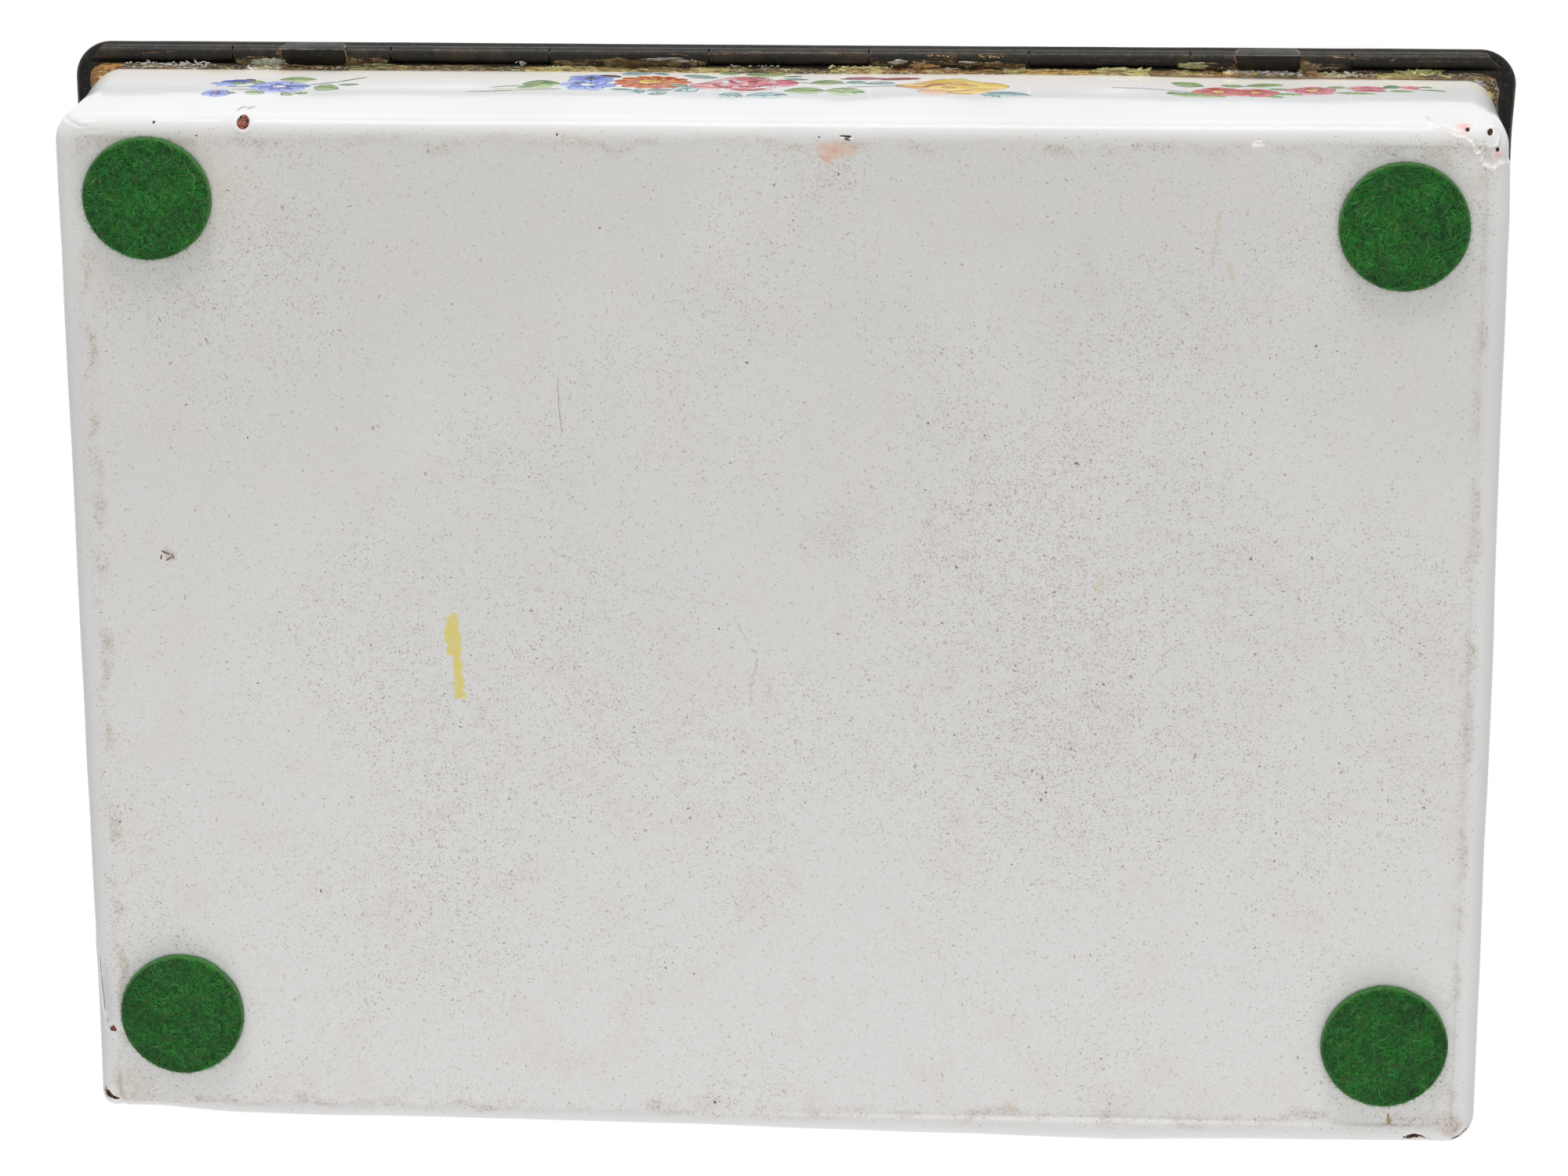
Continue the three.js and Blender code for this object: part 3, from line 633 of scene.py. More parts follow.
# Single rubbed streaks on the hinge: from x, y to x, y in plan, width, colour, weight
COPPER, STRAW = (122, 86, 64), (160, 126, 84)
HINGE_RUBS = [
    (65.1, 55.2, 62.4, 55.42, 0.09, COPPER, 0.9), (62.2, 55.4, 61.8, 55.5, 0.07, COPPER, 0.8),
    (7.9, 55.5, 3.6, 55.6, 0.09, COPPER, 0.8), (3.6, 55.6, -5.8, 55.62, 0.06, COPPER, 0.6),
    (12.2, 55.46, 9.9, 55.4, 0.07, COPPER, 0.8), (16.0, 55.5, 19.5, 55.44, 0.05, COPPER, 0.5),
    (-54.1, 55.6, -57.6, 55.4, 0.08, STRAW, 0.9), (-59.7, 55.28, -60.3, 55.5, 0.07, STRAW, 0.9),
    (-61.8, 55.2, -68.0, 55.24, 0.07, COPPER, 0.7), (-31.0, 55.15, -37.0, 55.1, 0.06, COPPER, 0.5),
    (51.0, 55.9, 51.6, 54.9, 0.3, STRAW, 0.5), (-44.2, 55.6, -44.4, 55.2, 0.2, COPPER, 0.8),
    (-51.0, 55.3, -51.5, 55.2, 0.25, COPPER, 0.6), (24.4, 55.9, 24.4, 54.6, 0.06, COPPER, 0.5),
    (-7.9, 55.9, -7.9, 54.9, 0.06, COPPER, 0.5), (-56.0, 55.6, -56.0, 54.8, 0.07, STRAW, 0.6),
]


def cement_finish(name):
    """Old cement along the mount: a tone for each stretch, under dark and pale streaks along X."""
    f = Finish(name, Coat_Weight=0.15, Coat_Roughness=0.25)
    x, y, z = f.node("SeparateXYZ", f.warped(2.2, 1.3)).outputs
    tones = f.node("ValToRGB", f.math("ADD", f.math("DIVIDE", x, CEMENT_SPAN * MM), 0.5))
    ramp = tones.color_ramp
    ramp.interpolation = "CONSTANT"
    for index, (start, tone) in enumerate(CEMENT_TONES):
        stop = ramp.elements[index] if index < 2 else ramp.elements.new(1.0)
        stop.position = start / CEMENT_SPAN + 0.5
        stop.color = [level * warm for level, warm in zip(linear(*tone), CEMENT_WARMTH)]
    long_streaks = f.noise(0.26, 5, 0.7, stretch=(0.13, 1.0, 1.0))
    short_streaks = f.noise(0.16, 4, 0.7, stretch=(0.35, 1.0, 1.0))
    colour = f.over(tones.outputs[0], (50, 37, 18), 0.8, f.fade(long_streaks, 0.5, 0.57))
    colour = f.over(colour, (214, 200, 134), 0.65, f.fade(long_streaks, 0.45, 0.39))
    colour = f.over(colour, (218, 208, 176), 0.7, f.fade(short_streaks, 0.56, 0.62))
    colour = f.over(colour, (54, 42, 26), 0.7, f.fade(short_streaks, 0.45, 0.38))
    brown = f.noise(2.6, 4, 0.6, stretch=(0.6, 1.0, 1.0))
    colour = f.over(colour, (124, 84, 40), 0.6, f.fade(brown, 0.55, 0.62))
    # Away from the hinge only a dark line of it shows, and by the enamel it is ochre
    colour = f.over(colour, (70, 56, 38), 0.7, f.fade(y, 51.0 * MM, 49.0 * MM))
    exact_y = f.node("SeparateXYZ", f.place).outputs[1]
    before = f.fade(exact_y, (BACK_WALL + 0.24) * MM, (BACK_WALL + 0.14) * MM)
    behind = f.fade(exact_y, (BACK_WALL - 0.2) * MM, BACK_WALL * MM)
    f.colour(f.over(colour, (136, 98, 46), 0.6, before, behind, f.fade(long_streaks, 0.36, 0.5)))
    f.roughness(0.6)
    f.bump(f.math("ADD", long_streaks, f.times(short_streaks, 0.6)), 0.22)
    return f.material


# Cement tones along the hinge: where each stretch starts, going towards +X, and its colour
CEMENT_SPAN = 144
CEMENT_WARMTH = (1.2, 1.1, 0.84, 1.0)
CEMENT_TONES = [
    (-72, (58, 46, 34)), (-63, (150, 146, 92)), (-58.8, (92, 62, 34)), (-56.0, (150, 142, 118)),
    (-53.0, (96, 74, 42)), (-50.6, (172, 164, 140)), (-43.6, (150, 112, 56)), (-41.5, (142, 138, 84)),
    (-38.6, (104, 78, 42)), (-36.0, (186, 180, 126)), (-30.8, (178, 148, 78)), (-23.7, (150, 146, 92)),
    (-21.5, (132, 98, 52)), (-14.0, (126, 88, 44)), (-9.9, (180, 172, 118)), (-4.2, (86, 72, 50)),
    (3.5, (110, 96, 66)), (6.0, (162, 150, 100)), (9.0, (132, 112, 66)), (15.0, (158, 142, 88)),
    (22.5, (176, 164, 112)), (26.0, (92, 88, 70)), (28.8, (96, 84, 48)), (39.6, (116, 116, 76)),
    (43.9, (120, 94, 50)), (51.0, (160, 160, 146)), (54.2, (44, 36, 28)), (57.6, (96, 92, 86)),
    (67.4, (172, 126, 56)), (70.2, (66, 48, 32)),
]


def solder_finish(name):
    """Dull solder under brown dirt, smeared along X, with flecks of cement and grey metal."""
    f = Finish(name, Metallic=0.2, IOR=1.3)
    dirt = f.noise(0.9, 5, 0.7, stretch=(0.3, 1.0, 1.0))
    colour = f.mix(f.fade(dirt, 0.42, 0.6), linear(34, 28, 22), linear(84, 62, 38))
    colour = f.over(colour, (112, 98, 60), 0.7, f.fade(f.noise(2.7, 4, 0.6), 0.54, 0.62))
    smear = f.noise(0.4, 4, 0.7, stretch=(0.2, 1.0, 1.0))
    colour = f.over(colour, (138, 130, 104), 0.7, f.fade(smear, 0.56, 0.62))
    f.colour(f.over(colour, (178, 146, 92), 0.7, f.fade(f.noise(0.2, 3), 0.62, 0.68)))
    f.roughness(0.5)
    f.bump(f.math("ADD", dirt, smear), 0.2)
    return f.material


def crumb_finish(name):
    """Dried glue and cement crumbs, each of its own colour."""
    f = Finish(name, Roughness=0.55)
    grain = f.noise(0.22, 4, 0.7, stretch=(0.5, 1.0, 1.0))
    colour = f.over(f.attribute("tone", colour=True), (104, 88, 58), 0.6, f.fade(grain, 0.5, 0.62))
    f.colour(f.over(colour, (232, 228, 212), 0.5, f.fade(grain, 0.42, 0.34)))
    f.bump(grain, 0.08)
    return f.material


def felt_finish(name):
    """Green wool felt: matted fibres in several greens, lighter and yellower at the cut edge."""
    f = Finish(name, Roughness=1.0, Sheen_Weight=0.25, Sheen_Roughness=0.5, Specular_IOR_Level=0.15)
    mat = f.noise(0.35, 4, 0.7)
    colour = f.mix(f.fade(mat, 0.4, 0.62), linear(8, 56, 16), linear(44, 134, 46))
    colour = f.over(colour, (18, 70, 24), 0.6, f.fade(f.noise(3.2, 4), 0.45, 0.6))
    colour = f.over(colour, (74, 104, 50), 0.5, f.fade(f.noise(1.6, 4), 0.54, 0.66))
    f.colour(f.over(colour, (66, 124, 46), 0.75, f.attribute("edge")))
    f.bump(mat, 0.25)
    return f.material


def fibre_finish(name):
    """Single wool fibres, each of its own green, straw or white."""
    f = Finish(name, Roughness=0.9, Sheen_Weight=0.2, Specular_IOR_Level=0.2)
    f.colour(f.over(f.attribute("tone", colour=True), (14, 64, 20), 0.5, f.noise(0.4)))
    return f.material


def paint_finish(name):
    """Fired enamel colours laid on by brush: a tone for each stroke, with streaks along it."""
    f = Finish(name, Roughness=0.16, IOR=1.45)
    colour = f.attribute("tone", colour=True)
    streak = f.noise_node(f.attribute("brush", colour=True), 5.0, 3.0).outputs["Fac"]
    shade = f.fade(streak, 0.38, 0.66)
    deeper = f.node("HueSaturation")
    deeper.inputs["Saturation"].default_value = 1.2
    deeper.inputs["Value"].default_value = 0.72
    f.feed(deeper.inputs["Color"], colour)
    f.colour(f.mix(f.times(shade, 0.6), colour, deeper.outputs[0]))
    f.bump(streak, 0.02)
    return f.material


def floor_finish(name):
    """A pale floor that shows from above only, because the box is also seen from below."""
    f = Finish(name, Roughness=0.7)
    shade = f.noise(400, 2)
    f.colour(f.mix(f.fade(shade, 0.3, 0.7), linear(240, 240, 239), linear(243, 243, 242)))
    clear = f.node("BsdfTransparent").outputs[0]
    away = f.node("VectorMath", f.place, operation="LENGTH").outputs["Value"]
    gone = f.most(f.node("NewGeometry").outputs["Backfacing"], f.fade(away, 0.35, 0.95))
    seen = f.node("MixShader", gone, f.shader.outputs[0], clear)
    f.feed(f.tree.nodes["Material Output"].inputs["Surface"], seen.outputs[0])
    return f.material


STOP_RIDGE = (55.986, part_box("stop_block_left")[0][2] / MM)
base_enamel = enamel_finish("speckled_base_enamel", True)
lid_enamel = enamel_finish("white_lid_enamel", False)
RUBBED = (150, 112, 78)
mount_metal = metal_finish("dark_mount_metal", (29, 28, 26), (48, 38, 28), (146, 102, 68), 0.01)
hinge_metal = metal_finish("dark_hinge_metal", (36, 35, 32), (58, 49, 38), RUBBED, 0.02, HINGE_RUBS)
# The stops get a bright line along their ridge: rubbed metal and a painted highlight
stop_metal = metal_finish("dark_stop_metal", (32, 32, 29), (46, 41, 31), RUBBED, 0.0, (), STOP_RIDGE)
pin_metal = metal_finish("brown_pin_metal", (82, 72, 56), (60, 46, 34), (170, 130, 84), 0.03)
cement = cement_finish("old_cement")
solder = solder_finish("solder_and_dirt")
crumbs = crumb_finish("glue_crumbs")
felt = felt_finish("green_felt")
fibres = fibre_finish("wool_fibres")
paint = paint_finish("fired_colours")

# The enamelled base

# Broken places on the heel: a line from x, y to x, y, its half width, depth, and whether dark metal shows
CHIPS = [
    (69.55, -48.8, 69.3, -49.4, 0.32, 0.25, 1), (69.3, -49.4, 68.6, -49.8, 0.28, 0.2, 1),
    (68.5, -50.0, 67.3, -50.4, 0.3, 0.16, 0), (-63.5, -50.9, -64.1, -50.8, 0.4, 0.3, 1),
    (-64.1, -50.7, -64.8, -50.8, 0.44, 0.34, 1), (-64.9, -51.0, -65.7, -51.1, 0.32, 0.2, 0.5),
    (-68.1, -50.85, -68.9, -50.5, 0.2, 0.2, 1), (-68.9, -50.5, -69.4, -49.9, 0.24, 0.25, 1),
    (-69.4, -49.9, -69.6, -49.3, 0.1, 0.2, 0.8),
    (-6.4, 51.9, -7.4, 51.8, 0.16, 0.12, 1),
    (-46.0, 51.5, -46.4, 51.4, 0.28, 0.12, 0),
]
# Pits through the enamel: x, y, radius, depth, and how much copper shows
PITS = [
    (51.4, 52.7, 0.72, 0.34, 1.0), (60.1, 52.7, 0.17, 0.12, 0), (21.0, 51.85, 0.16, 0.15, 0),
    (68.3, -41.45, 0.42, 0.3, 1.0), (-65.9, 53.0, 0.26, 0.25, 0), (-68.1, 52.75, 0.4, 0.26, 0),
    (-68.9, 51.0, 0.32, 0.24, 0),
]
# The large break at the back corner, from one side round to the other, and the corner that it takes off
BREAK_LINE = [
    (-61.6, 53.9), (-62.3, 53.4), (-63.1, 53.0), (-63.8, 52.7), (-64.8, 52.45), (-65.7, 52.25),
    (-66.3, 51.75), (-66.8, 51.1), (-67.2, 50.3), (-67.6, 49.7), (-68.4, 49.3), (-69.0, 49.8),
    (-69.8, 49.6), (-74, 49.4), (-74, 58), (-61, 58),
]
# Its first points are the edge of the break; the others close it outside the box
BREAK_POINTS = 13
CRATER, CRATER_RADIUS = (-68.15, 52.2), 0.85
# How far up the heel the pits and lines reach, and how far the break does
MARKED_HEIGHT, BREAK_HEIGHT = 4.2, 3.2
# Pink glows: x, y, radius, soft edge
GLOWS = [(-65.5, 53.35, 0.25, 0.9), (-68.85, 50.6, 0.15, 0.5)]
# The raised flow line at the front of one side, and the crack across the back corner
FLOW_LINE = [(69.75, -31.8), (69.5, -38.7), (69.1, -40.9)]
CRACK_LINE = [(69.3, 53.0), (67.4, 52.35), (66.2, 51.9)]
# Section rows of the base that lie on its inside
INNER_ROWS = 17


def inside_outline(plan, outline):
    """Whether each plan point is inside an outline, by counting the sides that a line towards +X crosses."""
    count = np.zeros(plan.shape[:-1], int)
    for (x0, y0), (x1, y1) in zip(outline, outline[1:] + outline[:1]):
        spans = (y0 > plan[..., 1]) != (y1 > plan[..., 1])
        cross = x0 + (plan[..., 1] - y0) * (x1 - x0) / (y1 - y0 if y1 != y0 else 1e-9)
        count += spans & (plan[..., 0] < cross)
    return count % 2 == 1


def line_distance(plan, x0, y0, x1, y1):
    """Distance of plan points from a straight line between two points."""
    start, run = np.array([x0, y0]), np.array([x1 - x0, y1 - y0])
    share = np.clip(((plan - start) @ run) / max(run @ run, 1e-9), 0, 1)
    return np.linalg.norm(plan - start - share[..., None] * run, axis=-1)


def path_distance(plan, points):
    """Distance of plan points from the nearest stretch of a path."""
    return np.min([line_distance(plan, *a, *b) for a, b in zip(points, points[1:])], axis=0)


def ridge(away, place, width):
    """1 at a place across something, falling to 0 on both sides of it."""
    return np.exp(-(((away - place) / width) ** 2))


def base_section():
    """The heel of the base, and its whole section from the end of its flat face round to its floor."""
    mouth_up = BASE_HEIGHT - CEMENT_BED
    heel = round_stations(-HEEL_RADIUS, HEEL_RADIUS, HEEL_RADIUS, -QUARTER, 0, 26)
    up = mouth_up - MOUTH_ROUND
    mouth_out = round_stations(-MOUTH_ROUND, up, MOUTH_ROUND, 0, QUARTER, 5)
    mouth_in = round_stations(MOUTH_ROUND - ENAMEL_WALL, up, MOUTH_ROUND, QUARTER, 2 * QUARTER, 4)
    inner = INNER_HEEL_RADIUS
    inner_heel = round_stations(-ENAMEL_WALL - inner, BASE_FLOOR + inner, inner, 0, -QUARTER, 6)
    return heel, [
        *heel, *straight(heel[-1], mouth_out[0], 18), *mouth_out, *mouth_in[1:],
        *straight(mouth_in[-1], inner_heel[0], 5), *inner_heel,
    ]


def enamelled_base():
    """The base pan: rings from the middle of its underside up the walls and back over its floor."""
    heel, section = base_section()
    back_peaks = (
        (0.1176, 0.006, 12), (0.053, 0.004, 7), (0.344, 0.004, 7), (0.541, 0.012, 3), (0.843, 0.004, 5),
        (0.97, 0.05, 5),
    )
    sides = [
        spaced(224, *back_peaks),
        spaced(110, (0.02, 0.05, 5)),
        spaced(120, (0.02, 0.03, 4)),
        spaced(90, (0.09, 0.02, 5), (0.0, 0.02, 4)),
    ]
    rings = plan_rings(section, sides, 22)
    by_edge = 0.09
    towards_middle = by_edge + (1 - by_edge) * np.linspace(0, 1, 27)[1:-1] ** 0.9
    shares = 1 - np.concatenate([np.linspace(0, by_edge, 21)[1:], towards_middle])
    under = shrunk(rings[:1], shares)
    rings = np.concatenate([under[::-1], rings, shrunk(rings[-1:], np.linspace(1, 0, 10)[1:-1])])
    rings[..., 2] += PAD_THICKNESS
    outer = len(shares) + len(section) - INNER_ROWS
    normal = ring_normals(rings)
    row = np.arange(len(rings))
    flat_end = len(shares)
    heel_end = flat_end + len(heel)
    on_outside = (row < outer)[:, None]
    height = rings[..., 2]
    low = height < PAD_THICKNESS + MARKED_HEIGHT
    plan = rings[..., :2]
    grid = rings.shape[:2]

    # The flat face is 1, the heel falls from 1 to 0, and the walls are 0
    turn = np.interp(row, [flat_end - 1, flat_end + 0.35 * len(heel)], [1, 0])[:, None] * np.ones(grid)
    wave = wall_wave(rings) * np.where(height < PAD_THICKNESS + 0.001, 0, 1 - 0.5 * turn)
    lift = np.where(on_outside, wave, 0.02 * unevenness(rings, 9, 8))

    ragged = plan + 0.14 * np.stack([unevenness(rings, 0.7, 21, 2), unevenness(rings, 0.7, 25, 2)], -1)
    chip, deep, glow, copper = (np.zeros(grid) for _ in range(4))
    edge = path_distance(ragged, BREAK_LINE[:BREAK_POINTS])
    edge = np.where(inside_outline(ragged, BREAK_LINE), edge, -edge)
    top = PAD_THICKNESS + BREAK_HEIGHT + 0.5 * unevenness(rings, 1.2, 29)
    gone = eased_step(edge, -0.02, 0.16) * eased_step(height, top + 0.3, top)
    lift -= gone * (0.26 + 0.1 * unevenness(rings, 0.9, 31, 2))
    width = 0.13 + 0.09 * unevenness(rings, 0.5, 33, 2)
    lip = ridge(-edge, 0.08, width) * eased_step(height, top, top - 0.3)
    chip = np.maximum(chip, np.maximum(gone * 0.2, lip))
    lift += 0.1 * lip
    crater = np.linalg.norm(ragged - CRATER, axis=-1)
    rim_of_crater = gone * ridge(crater, CRATER_RADIUS, 0.13) * eased_step(plan[..., 0], -67.2, -68.2)
    lift += 0.14 * rim_of_crater
    chip = np.maximum(chip, 0.7 * rim_of_crater)
    uneven_height = height + 0.3 * unevenness(rings, 0.8, 37)
    by_heel = eased_step(uneven_height, PAD_THICKNESS + 2.7, PAD_THICKNESS + 2.1)
    for x0, y0, x1, y1, reach, depth, dark in CHIPS:
        away = line_distance(ragged, x0, y0, x1, y1)
        bitten = eased_step(away, reach, reach * 0.5) * by_heel
        lift -= depth * bitten
        chip = np.maximum(chip, eased_step(away, reach * 1.7, reach) * by_heel)
        deep = np.maximum(deep, bitten * dark)
    for x, y, reach, depth, bare in PITS:
        away = np.linalg.norm(plan - (x, y), axis=-1)
        bowl = eased_step(away, reach, reach * 0.45) * low
        lift += -depth * bowl + 0.2 * reach * ridge(away, reach * 1.25, 0.24 * reach) * low
        bead = eased_step(away, reach * 0.95, reach * 0.7) * low
        lift += bare * depth * 0.75 * np.clip(1 - (away / reach) ** 2, 0, 1) * low
        deep = np.maximum(deep, bowl)
        copper = np.maximum(copper, bare * bead)
    for x, y, reach, soft in GLOWS:
        away = np.linalg.norm(plan - (x, y), axis=-1)
        spot = eased_step(away, reach + soft, reach * 0.3)
        glow = np.maximum(glow, spot * eased_step(height, 3.4, 2.4) * on_outside)
    lift += 0.12 * ridge(path_distance(plan, FLOW_LINE), 0, 0.2) * low * on_outside
    seam = path_distance(ragged, CRACK_LINE)
    lift -= 0.12 * ridge(seam, 0.03, 0.07) * low * on_outside
    lift += 0.06 * ridge(seam, 0.3, 0.15) * low * on_outside

    outward = np.sign(np.sum(normal[flat_end + 10, 5] * (rings[flat_end + 10, 5] - (0, 0, 12))))
    points = rings + normal * outward * lift[..., None]
    poles = np.array([[[*BOX_MIDDLE, PAD_THICKNESS], [*BOX_MIDDLE, PAD_THICKNESS + BASE_FLOOR]]])
    shape = skinned(points[None], poles)
    turn[heel_end:] = 0
    fall = [flat_end + 0.1 * len(heel), flat_end + 0.75 * len(heel)]
    shade = np.interp(row, fall, [1, 0])[:, None] * np.ones(grid)
    # The two poles come last: the one under the base carries the first two masks
    masks = dict(under=turn, shade=shade, chip=chip, deep=deep, glow=glow, copper=copper)
    for key, value in masks.items():
        masks[key] = np.append((value * on_outside).ravel(), [key in ("under", "shade"), 0])
    return piece("enamelled_base", shape, base_enamel, "base", ["base_pan"], "enamel_base", **masks)


enamelled_base()


# The enamelled lid


def crown_rise(plan):
    """Rise of the lid's crown: a parabola across times another along, and nothing over the walls."""
    share = (plan - BOX_MIDDLE) / (BOX_WIDTH / 2, BOX_DEPTH / 2)
    return LID_CROWN * np.prod(np.maximum(1 - share**2, 0), axis=-1)


def lid_outs():
    """How far out the lid's wall starts and ends."""
    skirt_out = -(ENAMEL_WALL + MOUTH_ROUND / 2) + LIP_CLEARANCE + SHEET_GAUGE
    return skirt_out + CEMENT_GAP, skirt_out + CEMENT_GAP + ENAMEL_WALL


def enamelled_lid():
    """The lid pan: rings from its ceiling down its inner wall, round its edge and up over the dome."""
    wall_in, wall_out = lid_outs()
    edge_up = LEDGE_UP + SHEET_GAUGE + CEMENT_BED + MOUTH_ROUND
    ceiling = LID_HEIGHT - ENAMEL_WALL
    inner, shoulder = LID_INNER_SHOULDER, LID_SHOULDER
    rows = [
        round_stations(wall_in - inner, ceiling - inner, inner, QUARTER, 0, 10),
        round_stations(wall_in + MOUTH_ROUND, edge_up, MOUTH_ROUND, 2 * QUARTER, 3 * QUARTER, 4),
        round_stations(wall_out - MOUTH_ROUND, edge_up, MOUTH_ROUND, -QUARTER, 0, 4),
        round_stations(wall_out - shoulder, LID_HEIGHT - shoulder, shoulder, 0, QUARTER, 16),
    ]
    section = [*rows[0], *rows[1], *rows[2], *straight(rows[2][-1], rows[3][0], 3), *rows[3]]
    rings = plan_rings(section, [spaced(120), spaced(90)] * 2, 14)
    grow = np.linspace(0, 1, 34)[1:-1] ** 0.8
    rings = np.concatenate([shrunk(rings[:1], grow), rings, shrunk(rings[-1:], grow[::-1])])
    crown = np.where(rings[..., 2] > ceiling - 0.01, crown_rise(rings[..., :2]), 0)
    rings[..., 2] += crown * eased_step(rings[..., 2], ceiling - 0.5, ceiling)
    rings[..., 2] += PARTING_LEVEL
    normal = ring_normals(rings)
    normal *= np.sign(normal[-3, 5, 2])
    points = rings + normal * (LID_WAVE * wall_wave(rings))[..., None]
    poles = np.array([[[*BOX_MIDDLE, PARTING_LEVEL + up + LID_CROWN] for up in (ceiling, LID_HEIGHT)]])
    return piece("enamelled_lid", skinned(points[None], poles), lid_enamel, "lid", ["lid_pan"], "enamel_lid")


enamelled_lid()


# The metal mounts


def mount(name, section, level, ease, seed, body, node):
    """A mount bent from sheet: its section swept round the box, with eased edges and small dents."""
    rings = plan_rings(eased_section(section, ease, 2), [spaced(130), spaced(96)] * 2, 16)
    rings[..., 2] += level
    normal = ring_normals(rings)
    dented = rings + normal * (MOUNT_DENTS * unevenness(rings, 6, seed, 3))[..., None]
    x, y, _ = np.moveaxis(rings, -1, 0)
    pushed_in = 0.28 * eased_step(-x, BOX_WIDTH / 2 + 1.1, BOX_WIDTH / 2 + 2.1)
    dented[..., 0] += pushed_in * eased_step(y, 54, 46) * eased_step(y, -53, -48)
    return piece(name, skinned(dented[None]), mount_metal, body, [node], "mount_metal", 40)


def base_mount():
    """A flat flange under the parting level, with a skirt inside the pan and a lip above."""
    lip_out = -(ENAMEL_WALL + MOUTH_ROUND / 2)
    lip_in = lip_out - SHEET_GAUGE
    section = [
        station(lip_in, -SKIRT_DEPTH), station(lip_out, -SKIRT_DEPTH), station(lip_out, 0),
        [FLANGE_PROJECTION, 0, FLANGE_CORNER], [FLANGE_PROJECTION, SHEET_GAUGE, FLANGE_CORNER],
        station(lip_out, SHEET_GAUGE), station(lip_out, SHEET_GAUGE + LIP_HEIGHT),
        station(lip_in, SHEET_GAUGE + LIP_HEIGHT),
    ]
    return mount("base_mount", section, RIM_LEVEL, 0.07, 41, "base", "base_rim")


def lid_mount():
    """A foot on the base mount, a ledge over the hinge, a moulding outside and a tray for the enamel."""
    wall_in, wall_out = lid_outs()
    skirt_in, skirt_out = wall_in - CEMENT_GAP - SHEET_GAUGE, wall_in - CEMENT_GAP
    foot_out = HINGE_OUT - LEDGE_UP
    ledge_edge = RIM_PROJECTION - RIM_SWELL
    bead_top = LEDGE_UP + BEAD_HEIGHT
    collar_in = wall_out + CEMENT_GAP
    collar_out = collar_in + SHEET_GAUGE
    tray = LEDGE_UP + SHEET_GAUGE
    collar_top = LEDGE_UP + COLLAR_HEIGHT
    swell = (ledge_edge + 2 * RIM_SWELL, LEDGE_UP + BEAD_HEIGHT / 2)
    bead = bent((ledge_edge, LEDGE_UP), swell, (ledge_edge, bead_top))
    hollow = bent((ledge_edge, bead_top), (collar_out, bead_top), (collar_out, collar_top))[1:]
    moulding = [[out, up, RIM_CORNER] for out, up in np.concatenate([bead, hollow])]
    foot_up = RIM_SEAT_GAP + SHEET_GAUGE
    section = [
        station(skirt_in, LID_SKIRT_HEIGHT), station(skirt_in, RIM_SEAT_GAP), station(foot_out, RIM_SEAT_GAP),
        station(foot_out, LEDGE_UP), *moulding, station(collar_in, collar_top), station(collar_in, tray),
        station(foot_out - SHEET_GAUGE, tray), station(foot_out - SHEET_GAUGE, foot_up),
        station(skirt_out, foot_up), station(skirt_out, LID_SKIRT_HEIGHT),
    ]
    return mount("lid_mount", section, PARTING_LEVEL, 0.06, 47, "lid", "lid_rim")


base_mount()
lid_mount()
refined("lifting_lug", "thumbpiece", mount_metal, "lid", 0.05)
for body, count in (("base", 4), ("lid", 5)):
    for number in range(1, count + 1):
        refined(f"{body}_tube_{number}", f"{body}_knuckle_{number}", hinge_metal, body)
for side in ("left", "right"):
    stop = refined(f"stop_{side}", f"stop_block_{side}", stop_metal, "base", 0.05)
    stop.visible_glossy = False
for node, finish in (("hinge_pin", pin_metal), ("lid_cement", cement)):
    nodes[node].data.materials.clear()
    nodes[node].data.materials.append(finish)


# Cement and crumbs


def cement_bead():
    """The base cement: a ragged bead whose edge creeps out over the mount and back."""
    section = [
        [0.0, -0.86, 2.8], [0.12, -0.76, 2.6], [0.28, -0.56, 2.3], [0.42, -0.36, 2.0], [0.52, -0.16, 1.7],
        [0.54, 0.02, 1.6], [0.3, 0.04, 1.9], [-0.1, -0.02, 2.7], [-0.12, -0.5, 2.7],
    ]
    rings = plan_rings(section, [spaced(620), spaced(260)] * 2, 20)
    rings[..., 2] += RIM_LEVEL
    outer = np.array([0.1, 0.5, 1, 1, 1, 0.7, 0.2, 0, 0])[:, None]
    away = rings[..., :2] - BOX_MIDDLE
    reach = np.abs(away) - (BOX_WIDTH / 2 - 3, BOX_DEPTH / 2 - 3)
    outward = unit(np.sign(away) * np.maximum(reach, 0), 1e-6)
    creep = 0.26 * unevenness(rings * (1, 1, 0.3), 2.6, 61, 4) + 0.14 * unevenness(rings, 0.6, 67, 2)
    wall = rings.copy()
    wall[..., 2] = RIM_LEVEL - 1
    creep = outer * creep + (1 - 0.7 * outer) * np.maximum(wall_wave(wall), 0)
    rings[..., :2] += outward * creep[..., None]
    rings[..., 2] += outer * (0.13 * unevenness(rings, 0.55, 71, 2) - 0.06)
    return piece("base_cement_bead", skinned(rings[None]), cement, "base", ["base_cement"], "cement")


# Middles of the base knuckles along X, and how far each seam reaches to both sides
BASE_KNUCKLES, SEAM_REACH = [48, 16, -16, -48], 7.8


